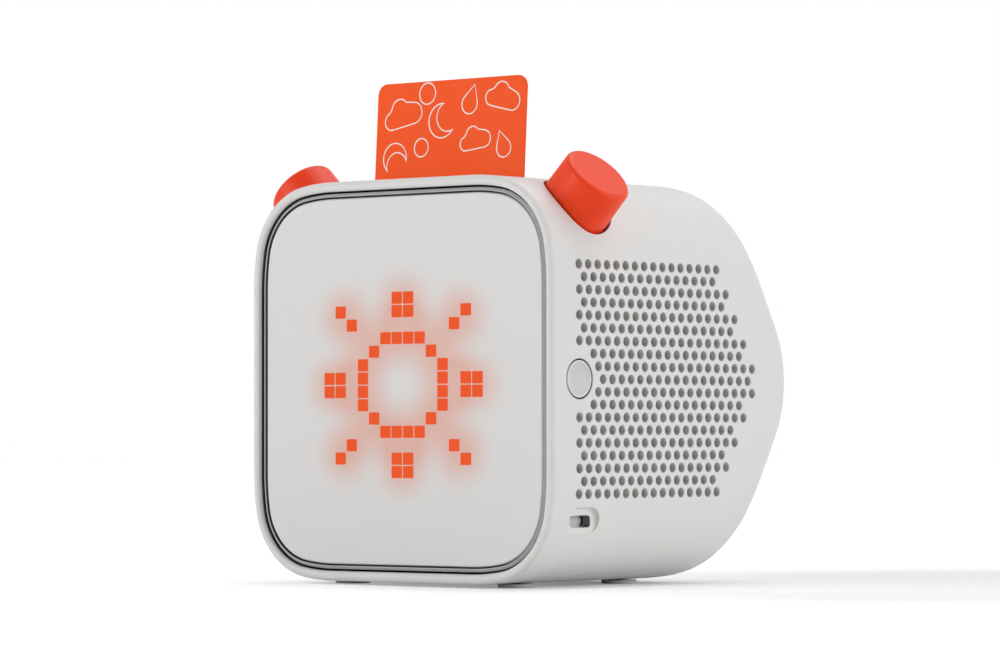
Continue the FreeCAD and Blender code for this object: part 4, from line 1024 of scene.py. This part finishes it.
def build_power_button():
    """A round cap with a dished face, a flange behind the wall and a stem."""
    profile = [(1.8, -6.0), (2.0, -4.2), (POWER_FLANGE, -4.1), (POWER_FLANGE, -3.0), (POWER_CAP, -3.0)]
    profile += [(POWER_CAP, -0.5), (POWER_CAP, -0.35), (4.91, -0.2), (4.8, -0.11), (4.6, -0.1)]
    profile += [(4.4, -0.19), (4.1, -0.35), (3.6, -0.54), (2.9, -0.72), (2.1, -0.86)]
    profile += [(1.2, -0.95), (0.5, -0.98)]
    cap = turned_from_side("power_cap", profile, 96)
    smooth(cap, 40.0)
    finish_piece(cap, "power_button_cap", white_shell, "power_key", "housing_white", "power_button")
    # Painted shade: the dish is painted greyer than the rest of the cap.
    paint_faces(cap, painted_dish_shade, is_button_dish)
    # Painted shade: the cap's side below its rim is painted dark.
    paint_faces(cap, painted_gap_shade, lambda place, normal: place.x < HALF_WIDTH - 0.5 and abs(normal.x) < 0.2)


def is_button_dish(place, normal):
    """Whether a face of the button lies in its dish."""
    return math.hypot(place.y - POWER_Y, place.z) < 4.3 and normal.x > 0.5


def build_feet():
    """Four round pads with an eased lower edge."""
    profile = [(FOOT_RADIUS - 0.15, -1.0), (FOOT_RADIUS, -0.85), (FOOT_RADIUS, 0.0)]
    pads = [
        turned("pad", profile, at(x, y, -HALF_HEIGHT), Vector((0, 0, 1)), 48)
        for x in (-FOOT_X, FOOT_X)
        for y in FOOT_ROWS_Y
    ]
    feet = join_pieces(pads)
    smooth(feet, 40.0)
    finish_piece(feet, "rubber_feet", foot_pad_rubber, "player", "foot_rubber", "foot_pads")


# Story card

def to_card(piece):
    """Stands a piece, drawn upright about the card's lower middle, in the card's leaning frame."""
    piece.rotation_euler = (-CARD_LEAN, 0, 0)
    piece.location = at(0, CARD_BOTTOM_Y, CARD_BOTTOM)
    return settle(piece)


def card_material():
    """Smooth orange card, a little uneven in its tone and sheen."""
    finish = Finish("card_face", CARD_ORANGE, 0.4, Specular_IOR_Level=0.14)
    finish.vary_colour(finish.noise(50.0), shade(CARD_ORANGE, 0.98), shade(CARD_ORANGE, 1.02))
    finish.vary_roughness(finish.noise(120.0), 0.36, 0.46)
    finish.emboss(finish.noise(2400.0, 2.0), 0.03, 0.00003)
    return finish.material


def crescent(size):
    """Outline of a crescent moon: a wide arc and a tighter one that meet in two tips."""
    inner, shift = 0.8, 0.5
    wide = math.acos((1 + shift**2 - inner**2) / (2 * shift))
    tight = math.acos((1 - shift**2 - inner**2) / (2 * shift * inner))
    points = []
    for step in range(25):
        turn = wide + (math.tau - 2 * wide) * step / 24
        points.append((size * math.cos(turn), size * math.sin(turn)))
    for step in range(1, 18):
        turn = math.tau - tight - (math.tau - 2 * tight) * step / 18
        points.append((size * (shift + inner * math.cos(turn)), size * inner * math.sin(turn)))
    return points


def cloud(size):
    """Outline of a small cloud with three bumps and a flat base."""
    bumps = (
        ((-0.75, -0.1), 0.42, 270, 100),
        ((-0.2, 0.3), 0.52, 165, 35),
        ((0.6, 0.0), 0.5, 80, -90),
    )
    points = []
    for (across, up), radius, start, end in bumps:
        for step in range(9):
            turn = math.radians(start + (end - start) * step / 8)
            points.append((size * (across + radius * math.cos(turn)), size * (up + radius * math.sin(turn))))
    return points


def drop(size):
    """Outline of a drop, round below and pointed above."""
    points = [(0.0, size * 1.35)]
    for step in range(21):
        turn = math.radians(30 - 240 * step / 20)
        points.append((size * 0.75 * math.cos(turn), size * (0.75 * math.sin(turn) - 0.1)))
    return points


def full_moon(size):
    """Outline of a round moon."""
    turns = [math.tau * step / 32 for step in range(32)]
    return [(size * math.cos(turn), size * math.sin(turn)) for turn in turns]


LINE_WIDTH = 0.66

# Each printed line: its shape and size, its place across and up the card, and its turn in degrees
PRINT = (
    (cloud, 6.2, -17.0, 76.5, 10),
    (crescent, 4.9, -3.0, 74.5, 25),
    (full_moon, 3.1, -8.6, 82.2, 0),
    (drop, 3.9, 7.0, 79.0, -18),
    (cloud, 5.6, 19.0, 79.5, -14),
    (crescent, 4.4, -19.8, 64.8, -70),
    (drop, 3.6, 19.6, 66.4, 20),
    (full_moon, 2.7, -10.2, 67.4, 0),
    (cloud, 5.0, 9.6, 68.6, 6),
)


def build_card():
    """The card with eased edges, and a white line print of moons, clouds and drops on its face."""
    card = rounded_bar("card", CARD_WIDTH, CARD_HEIGHT, CARD_CORNER, CARD_THICKNESS)
    select_faces(card, lambda place, normal: abs(normal.z) > 0.9)
    bpy.ops.mesh.bevel(offset=0.12 * MM, segments=3, affect="EDGES")
    leave()
    card.rotation_euler = (math.pi / 2, 0, 0)
    card.location = Vector((0, CARD_THICKNESS / 2, CARD_HEIGHT / 2)) * MM
    settle(card)
    to_card(card)
    smooth(card, 40.0)
    finish_piece(card, "story_card_body", card_material(), "card", "card_orange", "story_card")
    lines = to_card(join_pieces([printed_line(*motif) for motif in PRINT]))
    ink = moulded_plastic("white_ink", srgb(244, 240, 236), 0.45, relief=0.02)
    finish_piece(lines, "card_print", ink, "card", "card_orange")


def printed_line(shape, size, across, up, degrees):
    """One closed printed line: an outline framed by struts, flattened to the ink's thickness."""
    front = -CARD_THICKNESS / 2
    turn = math.radians(degrees)
    points = []
    for x, z in shape(size):
        turned_x = across + x * math.cos(turn) - z * math.sin(turn)
        turned_z = up + x * math.sin(turn) + z * math.cos(turn)
        points.append(Vector((turned_x, front, turned_z)) * MM)
    piece = path_of_points("printed_line", points)
    bpy.ops.mesh.select_all(action="SELECT")
    bpy.ops.mesh.edge_face_add()
    leave()
    settle(piece)
    apply_modifier(piece, "WIREFRAME", thickness=LINE_WIDTH * MM, offset=0.0, use_even_offset=False)
    edit(piece)
    bpy.ops.mesh.select_all(action="SELECT")
    bpy.ops.transform.resize(value=(1, 0.07, 1), center_override=(0, front * MM, 0))
    leave()
    return face_outward(piece)


# Inner pieces keep their solids and get their own finishes

def dress_inner_pieces():
    """Gives each carried-over solid the finish of what it is made of."""
    finishes = {
        "lens_gasket": foam,
        "diffuser_sheet": diffuser_film,
        "light_frame": diffuser_film,
        "led_board": laminate,
        "chassis": inner_grey_and_painted_slot_shade,
        "card_guide": inner_grey_and_painted_slot_shade,
        "antenna_board": laminate,
        "main_board": laminate,
        "processor_shield": sheet_steel,
        "power_switch": black_plastic,
        "power_board": laminate,
        "usb_shell": socket_steel,
        "usb_tongue": tongue_plastic,
        "io_board": laminate,
        "battery_pack": battery_sleeve,
    }
    paired = {
        "grille_cloth": cloth,
        "speaker_gasket": foam,
        "speaker_basket": black_plastic,
        "speaker_cone": cone_paper,
        "speaker_magnet": sheet_steel,
        "speaker_box": inner_grey_and_painted_slot_shade,
        "encoder_body": black_plastic,
        "encoder_board": laminate,
        "encoder_plunger": sheet_steel,
        "encoder_shaft": sheet_steel,
    }
    for label in ("right", "left"):
        finishes.update({f"{label}_{name}": material for name, material in paired.items()})
    for name, material in finishes.items():
        mesh = nodes[name].data
        mesh.materials.clear()
        mesh.materials.append(material)


# Floor, backdrop and light

def seen_or_reflected(tree):
    """One for what the camera sees, straight on, in a reflection or through something clear."""
    path = tree.nodes.new("ShaderNodeLightPath")
    source = path.outputs["Is Camera Ray"]
    for kind in ("Is Glossy Ray", "Is Transmission Ray"):
        either = tree.nodes.new("ShaderNodeMath")
        either.operation = "MAXIMUM"
        tree.links.new(source, either.inputs[0])
        tree.links.new(path.outputs[kind], either.inputs[1])
        source = either.outputs["Value"]
    return source


FLOOR_LIFT_NEAR = 0.15
FLOOR_LIFT_FAR = 0.8
ROOM_LEVEL = 0.22


def paper_finish():
    """White paper that is lifted towards plain white away from the player's shadow."""
    paper = bpy.data.materials.new("floor_paper")
    paper.use_nodes = True
    tree = paper.node_tree
    shader = tree.nodes["Principled BSDF"]
    shader.inputs["Base Color"].default_value = (0.92, 0.92, 0.92, 1.0)
    shader.inputs["Roughness"].default_value = 0.9
    shader.inputs["Specular IOR Level"].default_value = 0.1
    grain = tree.nodes.new("ShaderNodeTexNoise")
    grain.inputs["Scale"].default_value = 400.0
    bump = tree.nodes.new("ShaderNodeBump")
    bump.inputs["Strength"].default_value = 0.01
    tree.links.new(grain.outputs["Fac"], bump.inputs["Height"])
    tree.links.new(bump.outputs["Normal"], shader.inputs["Normal"])
    place = tree.nodes.new("ShaderNodeTexCoord")
    distance = tree.nodes.new("ShaderNodeVectorMath")
    distance.operation = "DISTANCE"
    distance.inputs[1].default_value = (0.12, 0.06, 0.0)
    tree.links.new(place.outputs["Object"], distance.inputs[0])
    rise = tree.nodes.new("ShaderNodeMapRange")
    rise.inputs["From Min"].default_value = 0.1
    rise.inputs["From Max"].default_value = 0.34
    rise.inputs["To Min"].default_value = FLOOR_LIFT_NEAR
    rise.inputs["To Max"].default_value = FLOOR_LIFT_FAR
    tree.links.new(distance.outputs["Value"], rise.inputs["Value"])
    lift = tree.nodes.new("ShaderNodeMath")
    lift.operation = "MULTIPLY"
    tree.links.new(seen_or_reflected(tree), lift.inputs[0])
    tree.links.new(rise.outputs["Result"], lift.inputs[1])
    shader.inputs["Emission Color"].default_value = (1.0, 1.0, 1.0, 1.0)
    tree.links.new(lift.outputs["Value"], shader.inputs["Emission Strength"])
    return paper


def build_floor():
    """A wide sheet of paper under the player."""
    clear_selection()
    bpy.ops.mesh.primitive_plane_add(size=8.0, location=(0, 0, 0))
    floor = bpy.context.object
    floor.name = "studio_floor"
    floor.data.materials.append(paper_finish())


def light_room():
    """Even light from all round, which shows as plain white."""
    world = bpy.data.worlds.new("studio")
    bpy.context.scene.world = world
    world.use_nodes = True
    tree = world.node_tree
    surroundings = tree.nodes["Background"]
    surroundings.inputs["Color"].default_value = (1.0, 1.0, 1.0, 1.0)
    level = tree.nodes.new("ShaderNodeMapRange")
    level.inputs["To Min"].default_value = ROOM_LEVEL
    level.inputs["To Max"].default_value = 1.0
    tree.links.new(seen_or_reflected(tree), level.inputs["Value"])
    tree.links.new(level.outputs["Result"], surroundings.inputs["Strength"])


def soft_box(name, place, target, size, power):
    """A soft lamp aimed at the player."""
    light = bpy.data.lights.new(name, "AREA")
    light.shape = "RECTANGLE"
    light.size, light.size_y = size
    light.energy = power
    lamp = bpy.data.objects.new(name, light)
    bpy.context.scene.collection.objects.link(lamp)
    lamp.location = place
    lamp.rotation_euler = (Vector(target) - Vector(place)).to_track_quat("-Z", "Y").to_euler()


def light_studio():
    """The room's light and three lamps, seen through the plain view."""
    light_room()
    soft_box("right_soft_box", (1.3, 0.36, 0.3), (0, 0, 0.06), (0.9, 0.8), 8.8)
    soft_box("front_soft_box", (-0.5, -1.25, 0.42), (0, 0, 0.06), (0.9, 0.8), 9.2)
    soft_box("top_soft_box", (0.1, 0.4, 1.2), (0, 0, 0.05), (1.0, 0.9), 7.0)
    bpy.context.scene.view_settings.view_transform = "Standard"


build_housing()
build_bezel()
build_display_plate()
build_icon()
for side, label in ((1, "right"), (-1, "left")):
    build_knob(side, label)
build_power_button()
build_feet()
build_card()
dress_inner_pieces()
build_floor()
light_studio()
